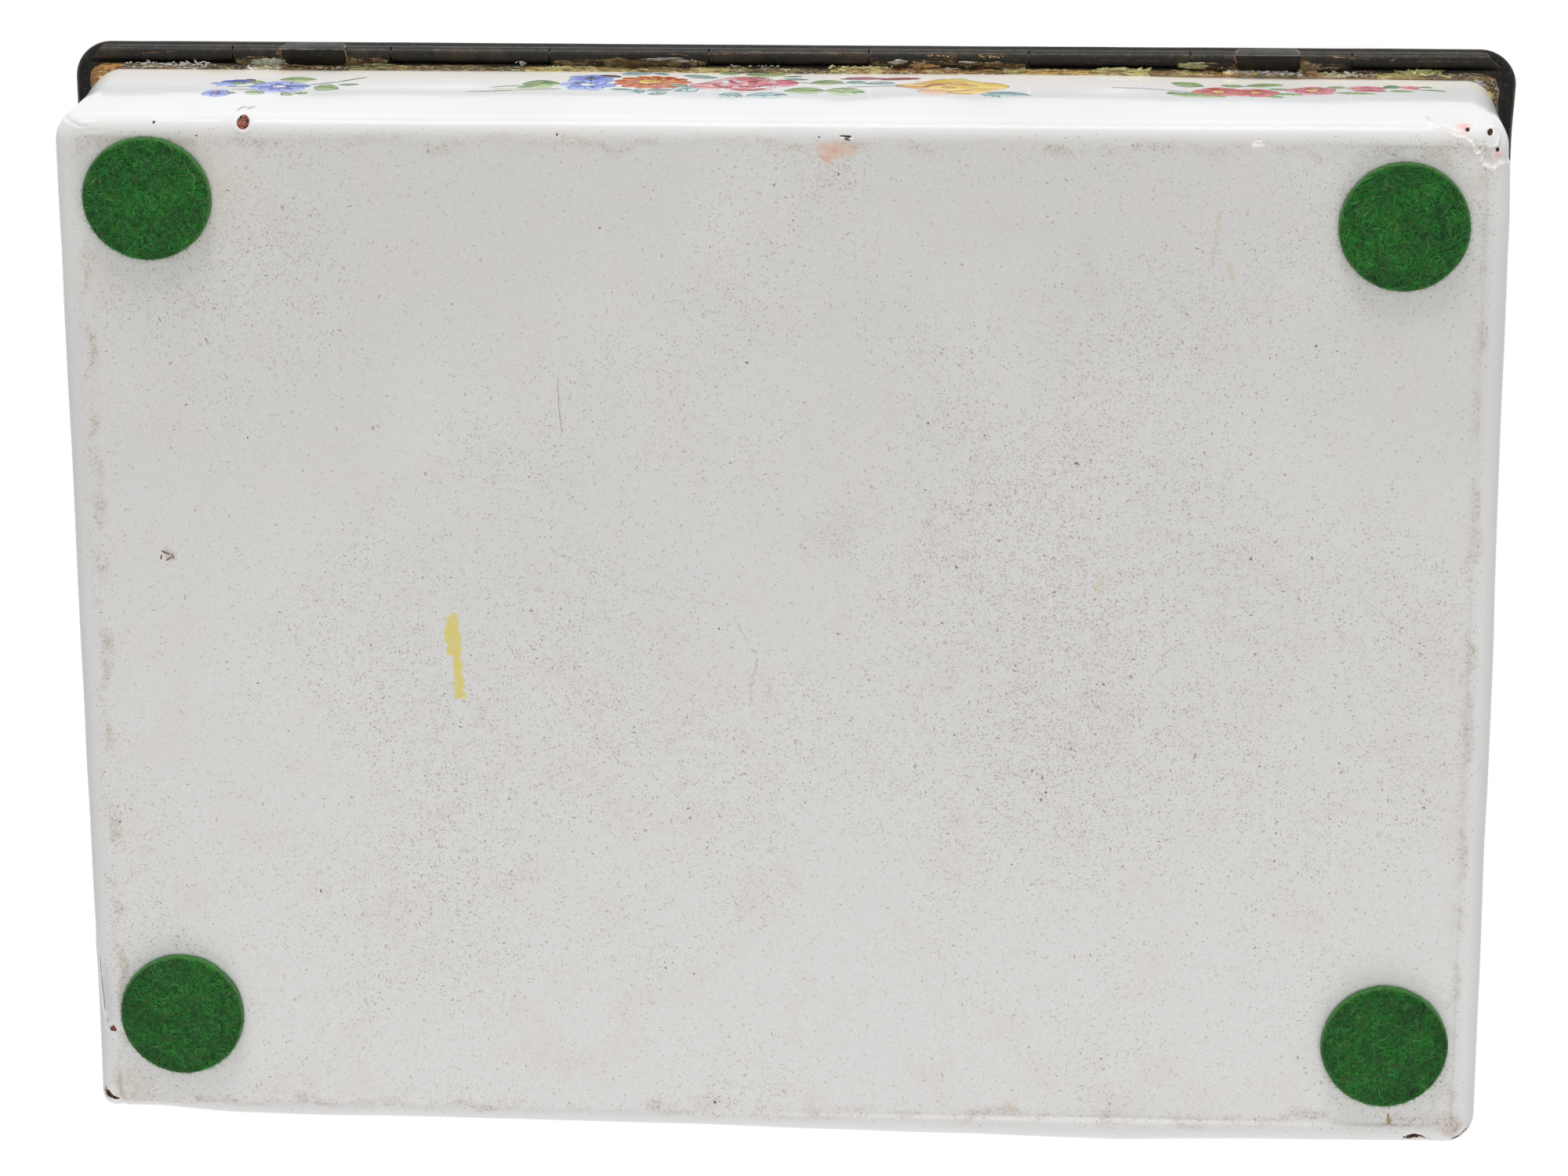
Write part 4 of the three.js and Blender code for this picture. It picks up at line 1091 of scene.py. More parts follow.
def solder_seams():
    """Ragged fillets of solder that join the base knuckles to the mount: flat lumpy strips along the hinge.

    Each ring is an ellipse that leans from the tube's underside to the mount's.
    """
    x = np.array(BASE_KNUCKLES)[:, None, None]
    run = np.linspace(-1, 1, 120)[None, 1:-1, None]
    angle = turns(24)[None, None]
    thick = (1 - run**8) ** 0.4
    across = 0.5 * thick * np.cos(angle)
    up = RIM_LEVEL - 0.1 - 0.34 * across + 0.13 * thick * np.sin(angle)
    rings = np.stack(np.broadcast_arrays(x + SEAM_REACH * run, HINGE_Y - 0.72 + across, up), -1)
    centre = rings.mean(2, keepdims=True)
    ragged = 1 + 0.4 * unevenness(rings, 1.3, 91, 3) + 0.3 * unevenness(rings * (0.4, 1, 1), 0.35, 95, 2)
    rings = centre + (rings - centre) * ragged[..., None]
    rings[..., 2] += 0.08 * unevenness(centre, 2.4, 97, 2)
    poles = np.concatenate([centre[:, 0], centre[:, -1]], 1).reshape(len(BASE_KNUCKLES), 2, 3)
    return piece("solder_seams", skinned(rings, poles), solder, "base", (), "cement")


# Crumbs under the back mount: from x, y to x, y, how many, size, colour
CRUMB_RUNS = [
    (67.0, 54.08, 58.0, 54.14, 110, 0.1, (196, 192, 184)),
    (67.0, 53.8, 58.0, 53.85, 110, 0.09, (170, 164, 152)),
    (54.3, 53.75, 51.0, 53.75, 34, 0.13, (222, 218, 208)),
    (47.8, 53.85, 47.0, 53.85, 10, 0.11, (214, 206, 186)),
    (49.4, 54.5, 44.0, 54.5, 30, 0.06, (150, 120, 66)), (27.6, 54.4, 26.4, 54.4, 8, 0.09, (190, 188, 180)),
    (24.6, 54.0, 22.0, 54.0, 20, 0.12, (188, 178, 126)), (19.0, 54.6, 9.0, 54.65, 60, 0.08, (150, 134, 84)),
    (6.0, 54.2, 0.5, 54.2, 30, 0.08, (158, 154, 140)),
    (-4.2, 54.2, -14.0, 54.25, 50, 0.11, (190, 180, 130)),
    (-11.9, 54.7, -16.5, 54.6, 50, 0.11, (150, 112, 60)),
    (-15.0, 54.8, -21.0, 54.7, 50, 0.08, (120, 98, 60)),
    (-13.9, 55.45, -16.8, 55.45, 30, 0.04, (176, 142, 90)),
    (-18.9, 55.48, -21.5, 55.35, 40, 0.042, (186, 152, 96)),
    (-30.8, 54.15, -36.0, 54.15, 50, 0.12, (194, 190, 132)),
    (-38.6, 54.7, -42.3, 54.5, 50, 0.12, (160, 152, 98)),
    (-43.2, 54.0, -46.5, 53.95, 50, 0.1, (206, 176, 110)),
    (-43.6, 54.1, -51.0, 53.9, 110, 0.12, (200, 194, 188)),
    (-44.6, 54.7, -46.2, 54.35, 36, 0.055, (168, 130, 70)),
    (-49.2, 54.6, -50.9, 54.6, 30, 0.055, (160, 124, 66)),
    (-50.7, 55.0, -53.4, 54.5, 110, 0.13, (92, 70, 42)),
    (-51.0, 54.3, -53.0, 53.8, 60, 0.11, (166, 132, 78)),
    (-53.4, 53.85, -57.6, 53.85, 60, 0.1, (176, 168, 144)),
    (-60.2, 54.1, -64.8, 54.0, 80, 0.12, (164, 160, 102)),
    (-68.2, 53.4, -69.2, 52.9, 14, 0.12, (150, 148, 140)),
    (-69.3, 52.8, -69.8, 51.9, 16, 0.11, (180, 164, 84)),
    (-69.6, 51.9, -69.9, 50.8, 16, 0.12, (116, 104, 62)), (69.6, 52.6, 67.4, 54.0, 30, 0.1, (170, 126, 62)),
]


def under_hinge(y):
    """Height just below what shows from under the hinge at a place across it: tube or cement."""
    off = np.clip(np.abs(y - HINGE_Y) / KNUCKLE_RADIUS, 0, 0.95)
    tube = PARTING_LEVEL - KNUCKLE_RADIUS * np.sqrt(1 - off**2)
    bead = np.interp(y - BACK_WALL, [0, 0.12, 0.28, 0.42, 0.52, 0.6], [-0.9, -0.8, -0.6, -0.4, -0.2, -0.08])
    return np.minimum(tube, RIM_LEVEL + bead)


def flat_lumps(name, places, sizes, tones, rows, steps, rough, spread):
    """Flattened crumbs under the hinge: long along X, thin in height, each turned a little its own way."""
    count = len(places)
    down = np.linspace(0, np.pi, rows + 2)[1:-1, None]
    round_ = turns(steps)[None]
    level = np.sin(down)
    ball = np.stack([level * np.cos(round_), level * np.sin(round_), np.cos(down) + 0 * round_], -1)
    turn = rng.normal(0, spread, count)
    lean = rng.normal(0, 0.6 * spread, (2, count))
    zero = np.zeros(count)
    along = np.stack([np.cos(turn), np.sin(turn), lean[0]], -1) * sizes[:, :1]
    across = np.stack([-np.sin(turn), np.cos(turn), lean[1]], -1) * sizes[:, 1:2]
    rise = np.stack([zero, zero, sizes[:, 2]], -1)
    axes = np.stack([along, across, rise], -1)
    balls = np.einsum("nij,rsj->nrsi", axes, ball)
    rings = places[:, None, None, :] + balls
    rings += balls * rough * unevenness(rings, 0.16, 77, 3)[..., None]
    poles = np.stack([places + axes[:, :, 2], places - axes[:, :, 2]], 1)
    tone = np.repeat(tones, rows * steps + 2, axis=0)
    return piece(name, oriented(rings, poles), crumbs, "base", (), "cement", tone=tone)


def crumb_flakes():
    """Crumbs of cement and glue, strewn evenly along each run with a small spread."""
    places, sizes, tones = [], [], []
    for x0, y0, x1, y1, count, size, tone in CRUMB_RUNS:
        share = rng.random(count)
        x, y = x0 + (x1 - x0) * share, y0 + (y1 - y0) * share + rng.normal(0, 0.09, count)
        places.append(np.stack([x, y, under_hinge(y)], -1))
        grown = size * (0.5 + 1.2 * rng.random(count) ** 2)[:, None]
        sizes.append(grown * (0.7 + 0.6 * rng.random((count, 3))) * (2.2, 0.9, 0.45))
        fleck = np.array(tone) + rng.normal(0, 22, (count, 1)) + rng.normal(0, 6, (count, 3))
        tones.append(np.array([linear(*colour)[:3] for colour in np.clip(fleck, 10, 245)]))
    places, sizes, tones = (np.concatenate(rows) for rows in (places, sizes, tones))
    return flat_lumps("cement_crumbs", places, sizes, tones, 5, 7, 0.7, 0.3)


# Larger smears of glue and cement: middle x, y, half length, half width, thickness, colour
SMEARS = [
    (52.4, 54.4, 1.75, 0.46, 0.16, (146, 148, 132)), (52.6, 53.75, 1.5, 0.14, 0.1, (214, 210, 200)),
    (12.8, 55.0, 2.2, 0.13, 0.07, (128, 128, 120)), (10.6, 54.8, 0.9, 0.12, 0.07, (140, 138, 130)),
    (-10.9, 54.85, 0.9, 0.22, 0.1, (140, 134, 122)), (-13.5, 54.5, 1.5, 0.34, 0.14, (140, 100, 50)),
    (-15.4, 54.1, 1.3, 0.12, 0.09, (198, 188, 178)), (-17.9, 54.88, 0.7, 0.09, 0.08, (176, 170, 160)),
    (-23.3, 54.05, 0.3, 0.24, 0.1, (152, 150, 96)), (-26.6, 54.05, 0.22, 0.18, 0.08, (140, 134, 78)),
    (-33.0, 54.13, 2.4, 0.2, 0.12, (188, 184, 124)), (-40.3, 54.62, 1.5, 0.3, 0.16, (142, 136, 88)),
    (-40.8, 54.95, 0.7, 0.08, 0.08, (160, 164, 144)), (-45.0, 54.0, 0.8, 0.14, 0.1, (212, 202, 196)),
    (-48.3, 53.9, 1.8, 0.13, 0.1, (196, 192, 190)), (-51.9, 54.6, 1.1, 0.5, 0.2, (88, 66, 40)),
    (-52.2, 53.95, 0.8, 0.3, 0.14, (132, 100, 54)), (-62.3, 54.05, 2.2, 0.24, 0.12, (150, 148, 92)),
    (-55.6, 53.8, 1.8, 0.1, 0.08, (176, 170, 158)), (22.8, 54.0, 1.1, 0.18, 0.1, (176, 168, 116)),
    (-7.4, 54.1, 2.6, 0.2, 0.12, (176, 168, 116)), (41.6, 54.15, 2.2, 0.24, 0.1, (104, 106, 70)),
    (-57.6, 54.05, 1.3, 0.16, 0.1, (70, 36, 26)), (37.5, 53.7, 1.8, 0.1, 0.08, (136, 116, 70)),
]


def smears():
    """Larger smears of glue and cement that hang under the back mount and its tubes."""
    table = np.array([row[:5] for row in SMEARS])
    hang = np.where(table[:, 1] > BACK_WALL + 0.8, 0.14, 0.04)
    places = np.stack([table[:, 0], table[:, 1], under_hinge(table[:, 1]) - hang], -1)
    tones = np.array([linear(*row[5])[:3] for row in SMEARS])
    return flat_lumps("cement_smears", places, table[:, 2:], tones, 12, 40, 0.9, 0.03)


def oriented(rings, poles):
    """Skin each piece of a batch with its faces outward: the rings of mirrored pieces run backwards."""
    middle = rings[:, 2].mean(1)
    ways = rings[:, 2, 0] - middle, rings[:, 2, 2] - middle, poles[:, 0] - poles[:, 1]
    hand = np.linalg.det(np.stack(ways, 1))
    flipped = np.where((hand < 0)[:, None, None, None], rings[:, :, ::-1], rings)
    return skinned(flipped, poles)


def thread(points, radius, steps, sides, taper=True):
    """Rings and poles along a batch of smooth lines given by three points each: start, turn and end."""
    t = np.linspace(0, 1, steps)[None, :, None]
    start, turn, end = (points[:, k : k + 1] for k in range(3))
    line = quadratic(start, turn, end, t)
    run = unit(np.gradient(line, axis=1))
    side = unit(np.cross(run, np.where(np.abs(run[..., 2:]) > 0.9, (1.0, 0, 0), (0, 0, 1.0))))
    rise = np.cross(side, run)
    angle = turns(sides)
    thick = (1 - 0.75 * (2 * t - 1) ** 4) if taper else 1 + 0 * t
    thick = (np.reshape(radius, (-1, 1, 1)) * thick)[..., None]
    round_ = side[:, :, None] * np.cos(angle)[:, None] + rise[:, :, None] * np.sin(angle)[:, None]
    return line[:, :, None] + round_ * thick, line[:, [0, -1]]


def glue_threads():
    """Squiggles of dried white glue by the stops, and the brass and copper lines at the stops' ends: seams,
    and painted highlights along those end edges.
    """
    marks, tones = [], []
    for x, y in ((48.0, 53.85), (46.0, 53.9), (-45.4, 54.0)):
        corners = np.array([(0, 0.12), (-0.4, -0.2), (-0.8, 0.14), (-1.2, -0.16), (-1.6, 0.1)])
        for (a, b), (c, d) in zip(corners, corners[1:]):
            level = under_hinge(y) - 0.1
            first, last = (x + a, y + b, level), (x + c, y + d, level)
            marks.append([first, (x + (a + c) / 2 + 0.08, y + (b + d) / 2, level - 0.08), last])
            tones.append((222, 218, 210))
    ridge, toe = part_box("stop_block_left")[0][2] / MM, RIM_LEVEL - 0.14
    # Brass and copper lines along the stops' end edges: seams, and painted highlights on those edges
    end_seams_and_highlights = (
        (44.4, 0, 0, (178, 152, 100)), (-44.42, 0.1, -0.55, (160, 122, 78)), (50.9, 0.1, 0.1, (128, 86, 52)),
    )
    for x, bend, lean, tone in end_seams_and_highlights:
        marks.append([(x, 55.95, ridge), (x + bend, 55.2, ridge + 0.75), (x + lean, 54.35, toe)])
        tones.append(tone)
    marks.append([(44.6, 54.38, toe), (46.5, 54.3, toe), (49.0, 54.4, toe)])
    tones.append((170, 136, 70))
    marks = np.array(marks)
    radius = np.append(np.full(12, 0.055), [0.045, 0.045, 0.04, 0.035])
    steps, sides = 15, 8
    rings, poles = thread(marks, radius, steps, sides, taper=False)
    rings = rings + 0.03 * unevenness(rings, 0.2, 81)[..., None]
    tone = np.repeat([linear(*tone)[:3] for tone in tones], steps * sides + 2, axis=0)
    return piece("glue_threads", skinned(rings, poles), crumbs, "base", (), "cement", tone=tone)


cement_bead()
solder_seams()
crumb_flakes()
smears()
glue_threads()

# Felt dots

# The rounding of a dot's edge, and each dot's middle and its radii across and along, as cut by hand
PAD_EDGE = 0.3
PAD_PLACES = {
    "back_right": (60.9, 45.38, 6.28, 6.06), "back_left": (-60.13, 43.59, 6.28, 6.26),
    "front_right": (60.97, -39.46, 6.26, 6.4), "front_left": (-60.83, -40.62, 6.33, 6.42),
}


def felt_dot(name, seed):
    """A felt dot: rings out over the face, round the cut edge and back, all matted by noise."""
    x, y, across, along = PAD_PLACES[name]
    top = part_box("pad_" + name)[1][2] / MM
    flat = PAD_RADIUS - PAD_EDGE
    face = np.linspace(0, 1, 30)[1:] ** 0.85 * flat
    bend = np.linspace(0, QUARTER, 6)[1:]
    side = [PAD_RADIUS + 0.03, PAD_RADIUS + 0.02]
    radius = np.concatenate([face, flat + PAD_EDGE * np.sin(bend), side, face[::-4]])
    up = np.concatenate([0 * face, 0.32 * (1 - np.cos(bend)), [0.5, 0.85], 0 * face[::-4] + top])
    angle = turns(220)
    reach = radius[:, None]
    rings = np.stack([reach * np.cos(angle), reach * np.sin(angle), up[:, None] + 0 * angle], -1)
    shift = np.array([x, y, 0])
    out = rings * (1, 1, 0) / PAD_RADIUS
    rough = unevenness(rings + shift, 0.34, seed, 2)
    loose = (up < top - 0.05)[:, None]
    cut = 1 + 0.007 * unevenness(out * 3, 1.3, seed + 5)[..., None]
    rings = rings * np.where(loose[..., None], cut, 1) * (across / PAD_RADIUS, along / PAD_RADIUS, 1) + shift
    crown = 0.09 * (np.clip(radius / PAD_RADIUS, 0, 1) ** 6)[:, None]
    rings[..., 2] += np.where(loose, 0.07 + crown + 0.055 * rough, 0)
    rings[..., :2] += out[..., :2] * np.where(loose, 0.05 * rough, 0)[..., None]
    poles = np.array([[[x, y, 0.07], [x, y, top]]])
    light = eased_step(radius, flat, PAD_RADIUS - 0.05) * np.where(up < 0.3, 1.0, 0.25)
    edge = np.append((light[:, None] + 0 * angle).ravel(), [0, 0])
    shape = skinned(rings[None], poles)
    made = piece(f"felt_{name}", shape, felt, "base", ["pad_" + name], "felt", edge=edge)
    return made


# Greens, straw and white of single fibres, and how often each comes
FIBRE_TONES = [
    (18, 104, 28), (30, 132, 40), (48, 158, 54), (82, 178, 80),
    (72, 116, 48), (10, 58, 20), (108, 136, 68), (176, 170, 126),
]
FIBRE_CHANCES = [0.24, 0.22, 0.14, 0.05, 0.13, 0.18, 0.038, 0.002]


def felt_fibres(name, seed):
    """Loose fibres of a dot: curved threads that lie over its face, and shorter ones out of its edge."""
    draw = np.random.default_rng(seed)
    x, y, across, along = PAD_PLACES[name]
    lying, standing = 4700, 300
    count = lying + standing
    turn = draw.random(count) * 2 * np.pi
    reach = np.append(np.sqrt(draw.random(lying)) * (PAD_RADIUS - 0.15), np.full(standing, PAD_RADIUS - 0.05))
    up = 0.02 + 0.1 * draw.random(count)
    start = np.stack([x + reach * np.cos(turn), y + reach * np.sin(turn), up], -1)
    start[lying:, 2] = 0.1 + 0.8 * draw.random(standing)
    heading = np.append(draw.random(lying) * 2 * np.pi, turn[lying:] + draw.normal(0, 0.9, standing))
    length = np.append(0.4 + 0.9 * draw.random(lying), 0.08 + 0.3 * draw.random(standing) ** 2)
    way = np.stack([np.cos(heading), np.sin(heading), 0 * heading], -1)
    aside = np.stack([-way[:, 1], way[:, 0], 0 * heading], -1)
    end = start + way * length[:, None]
    bow = start + way * length[:, None] / 2 + aside * (draw.normal(0, 0.3, count) * length)[:, None]
    over = np.hypot(end[:, 0] - x, end[:, 1] - y) > PAD_RADIUS + 0.05
    over[lying:] = False
    end[over] = start[over] + (bow - start)[over] * 0.4
    bow[:, 2] = np.maximum(start[:, 2] - 0.05, 0.0)
    end[:lying, 2] = 0.06 + 0.06 * draw.random(lying)
    end[lying:, 2] = np.maximum(start[lying:, 2] + draw.normal(0, 0.12, standing), 0.02)
    radius = np.append(0.014 + 0.02 * draw.random(lying) ** 2, 0.008 + 0.006 * draw.random(standing))
    runs = np.stack([start, bow, end], 1)
    runs[..., :2] = (x, y) + (runs[..., :2] - (x, y)) * (across / PAD_RADIUS, along / PAD_RADIUS)
    steps, sides = 4, 3
    rings, poles = thread(runs, radius, steps, sides)
    tones = np.array([linear(*tone)[:3] for tone in FIBRE_TONES])
    tones = tones[draw.choice(len(FIBRE_CHANCES), count, p=FIBRE_CHANCES)]
    level = 1 + 0.4 * unevenness(start, 2.4, seed + 9, 2) + 0.6 * unevenness(start, 0.5, seed + 11)
    tones = tones * level[:, None].clip(0.3, 1.7)
    tones[lying:] = tones[lying:] * (1.5, 1.25, 1.0)
    tone = np.repeat(tones, steps * sides + 2, axis=0)
    return piece(f"fibres_{name}", skinned(rings, poles), fibres, "base", (), "felt", tone=tone)


for order, name in enumerate(PAD_PLACES):
    felt_dot(name, 100 + 10 * order)
    felt_fibres(name, 300 + order)

# Painted sprays

TONES = {
    "leaf": ((138, 174, 94), (184, 208, 136)), "dark": ((58, 98, 44), (104, 144, 70)),
    "pale": ((186, 214, 158), (212, 230, 184)), "teal": ((146, 186, 184), (186, 214, 212)),
    "mist": ((178, 212, 214), (212, 232, 234)), "slate": ((62, 100, 104), (106, 146, 148)),
    "blue": ((58, 76, 180), (116, 144, 232)), "sky": ((140, 164, 238), (190, 206, 250)),
    "violet": ((54, 44, 118), (92, 96, 200)), "night": ((30, 28, 52), (54, 50, 104)),
    "rust": ((178, 50, 22), (216, 88, 38)), "gold": ((236, 180, 62), (246, 212, 96)),
    "rose": ((204, 82, 94), (232, 146, 152)), "blush": ((236, 176, 178), (248, 216, 216)),
    "crimson": ((158, 32, 46), (200, 70, 80)), "salmon": ((204, 74, 76), (232, 136, 130)),
    "pink": ((226, 128, 144), (242, 178, 188)), "yellow": ((240, 202, 88), (252, 230, 140)),
    "amber": ((190, 118, 36), (226, 166, 66)), "peach": ((240, 184, 146), (250, 212, 182)),
    "plum": ((132, 70, 100), (180, 126, 152)), "brown": ((120, 58, 54), (166, 92, 78)),
    "white": ((232, 234, 244), (246, 246, 250)), "moss": ((58, 84, 52), (104, 130, 88)),
    "crack": ((150, 126, 76), (176, 156, 112)), "soot": ((52, 46, 44), (96, 84, 76)),
    "hair": ((180, 162, 128), (196, 182, 152)), "umber": ((84, 66, 36), (124, 104, 66)),
    "shadow": ((122, 122, 136), (150, 150, 162)),
}

# A brush stroke: its middle, half length, half width, turn in degrees, tones, bend to one side, layer, and
# how pointed its ends are
Stroke = namedtuple("Stroke", "x z a b tilt tone bend layer point", defaults=(0.0, 0, 0.5))


def leaf(x, z, a, b, tilt, fill="leaf", vein="dark"):
    """A painted leaf: a pointed wash, a shaded tip, a midrib, an outline below and three side veins."""
    angle = np.radians(tilt)
    way = np.array([np.cos(angle), np.sin(angle)])
    rows = [
        Stroke(x, z, a, b, tilt, fill, 0.1 * b, 0, 0.85),
        Stroke(x, z, a * 0.98, 0.09, tilt, vein, 0.12 * b, 2, 0.3),
        Stroke(x, z, a * 0.96, 0.08, tilt, vein, -0.9 * b, 2, 0.3),
        Stroke(*(np.array([x, z]) + 0.62 * a * way), a * 0.32, b * 0.26, tilt, vein, 0, 1, 0.8),
    ]
    for share, side in ((-0.45, 1), (-0.1, -1), (0.2, 1)):
        lean = angle + side * 0.75
        spot = np.array([x, z]) + share * a * way + 0.4 * b * np.array([np.cos(lean), np.sin(lean)])
        rows.append(Stroke(*spot, b * 0.5, 0.06, np.degrees(lean), vein, 0, 2, 0.3))
    return rows


def bloom(x, z, rx, rz, count, turn, fill, line, heart, width=0.86, share=0.52):
    """A flower: a wash for each petal round a stretched circle, a darker base and edge, and a heart."""
    rows = []
    for k in range(count):
        angle = 2 * np.pi * k / count + turn
        way = np.array([np.cos(angle) * rx, np.sin(angle) * rz])
        length, tilt = np.hypot(*way), np.degrees(np.arctan2(way[1], way[0]))
        across = np.hypot(np.sin(angle) * rx, np.cos(angle) * rz) * np.sin(np.pi / count) * width
        spot, base = (np.array([x, z]) + way * reach for reach in (share, 0.42))
        rows.append(Stroke(*spot, length * (1 - share), across, tilt, fill, 0, 0, 0.45))
        rows.append(Stroke(*base, length * 0.26, across * 0.3, tilt, line, 0, 1, 0.6))
        rows.append(Stroke(*spot, length * 0.46, 0.09, tilt, line, across * 0.92, 2, 0.3))
    rows.append(Stroke(x, z, rx * 0.24, rz * 0.24, 0, heart, 0, 3))
    return rows


def rose(x, z, rx, rz):
    """A full rose: pale outer petals, a ring of deeper ones, folds drawn in crimson and a dark heart."""
    rows = bloom(x, z, rx, rz, 7, 0.3, "blush", "rose", "blush", 0.9, 0.5)
    inner = bloom(x - 0.5, z + 0.2, rx * 0.6, rz * 0.62, 5, 1.1, "pink", "rose", "blush", 0.74)
    rows += [row._replace(layer=row.layer + 2) for row in inner]
    for right, up, long, wide, tilt in ((0.42, 0.2, 0.3, 0.22, 8), (-0.5, -0.42, 0.24, 0.12, -8)):
        rows.append(Stroke(x + rx * right, z + rz * up, rx * long, rz * wide, tilt, "white", 0, 4))
    folds = ((0.3, 0.12, 0.3, 0.1, 52, 0.3), (0.62, -0.3, 0.36, 0.08, 38, 0.4))
    for side in (-1, 1):
        for right, up, long, wide, tilt, bend in folds:
            spot = x + side * rx * right, z + rz * up
            rows.append(Stroke(*spot, rx * long, rz * wide, side * tilt, "crimson", -side * bend, 5))
    for up, wide, bend in ((-0.62, 0.5, -0.5), (-0.3, 0.36, -0.4), (0.6, 0.42, 0.4), (0.36, 0.26, 0.3)):
        rows.append(Stroke(x - 0.4, z + rz * up, rx * wide, rz * 0.07, 0, "crimson", bend, 5))
    rows.append(Stroke(x - 0.6, z + rz * 0.08, rx * 0.14, rz * 0.2, 0, "crimson", 0, 6))
    return rows


def painted(*rows):
    """Strokes from rows of their values, in the order in which they are painted."""
    return [Stroke(*row) for row in rows]


def line(*points, width=0.1, tone="moss"):
    """A stem through points on the wall, a stroke for each stretch."""
    rows = []
    for (x0, z0), (x1, z1) in zip(points, points[1:]):
        length = np.hypot(x1 - x0, z1 - z0)
        tilt = np.degrees(np.arctan2(z1 - z0, x1 - x0))
        rows.append(Stroke((x0 + x1) / 2, (z0 + z1) / 2, length / 2 + width, width, tilt, tone, 0, 1, 0.3))
    return rows


LEFT_SPRAY = painted(
    *line((50.8, 15.4), (47.5, 16.0), (44.6, 17.4), (41.9, 19.5), width=0.14),
    *line((55.2, 15.1), (53.8, 15.0), (52.3, 15.5)), *line((54.5, 13.8), (52.2, 13.7)),
    *leaf(48.6, 18.3, 1.9, 0.95, 178), *leaf(45.3, 15.1, 1.4, 1.3, 20), *leaf(43.3, 16.5, 1.1, 0.4, -10),
    *leaf(54.2, 16.6, 0.8, 0.5, 10), *leaf(52.4, 17.0, 0.85, 0.7, 10),
    *leaf(52.0, 12.3, 1.1, 0.85, 190, "pale", "moss"), *leaf(48.7, 11.9, 0.8, 0.75, 40, "pale", "moss"),
    *leaf(47.4, 12.5, 0.75, 0.6, -30, "pale", "moss"), *leaf(54.4, 12.2, 0.6, 0.35, 10, "pale", "moss"),
    (56.1, 16.3, 1.0, 0.8, 200, "sky"), (55.3, 17.0, 0.9, 0.9, 160, "blue"),
    (55.0, 15.9, 0.8, 0.5, 30, "sky"), (54.4, 17.3, 0.8, 0.85, 20, "violet", 0, 1),
    (55.0, 16.9, 0.4, 0.3, 20, "night", 0, 2), (53.3, 17.8, 0.6, 0.5, 0, "night", 0, 1),
    (53.3, 17.0, 0.4, 0.35, 0, "violet", 0, 1),
    *bloom(55.7, 11.9, 1.5, 1.8, 5, 0.6, "sky", "blue", "brown"),
    *bloom(50.0, 15.1, 3.0, 2.5, 5, 0.1, "sky", "blue", "violet"), (51.9, 14.9, 1.2, 0.3, 10, "blue", 0, 1),
    (48.1, 15.5, 1.2, 0.35, 170, "blue", 0, 1), (50.0, 15.1, 1.1, 0.85, 0, "violet", 0, 3),
    (50.0, 15.2, 0.75, 0.5, 0, "white", 0, 4), (50.3, 15.1, 0.2, 0.18, 0, "night", 0, 5),
)
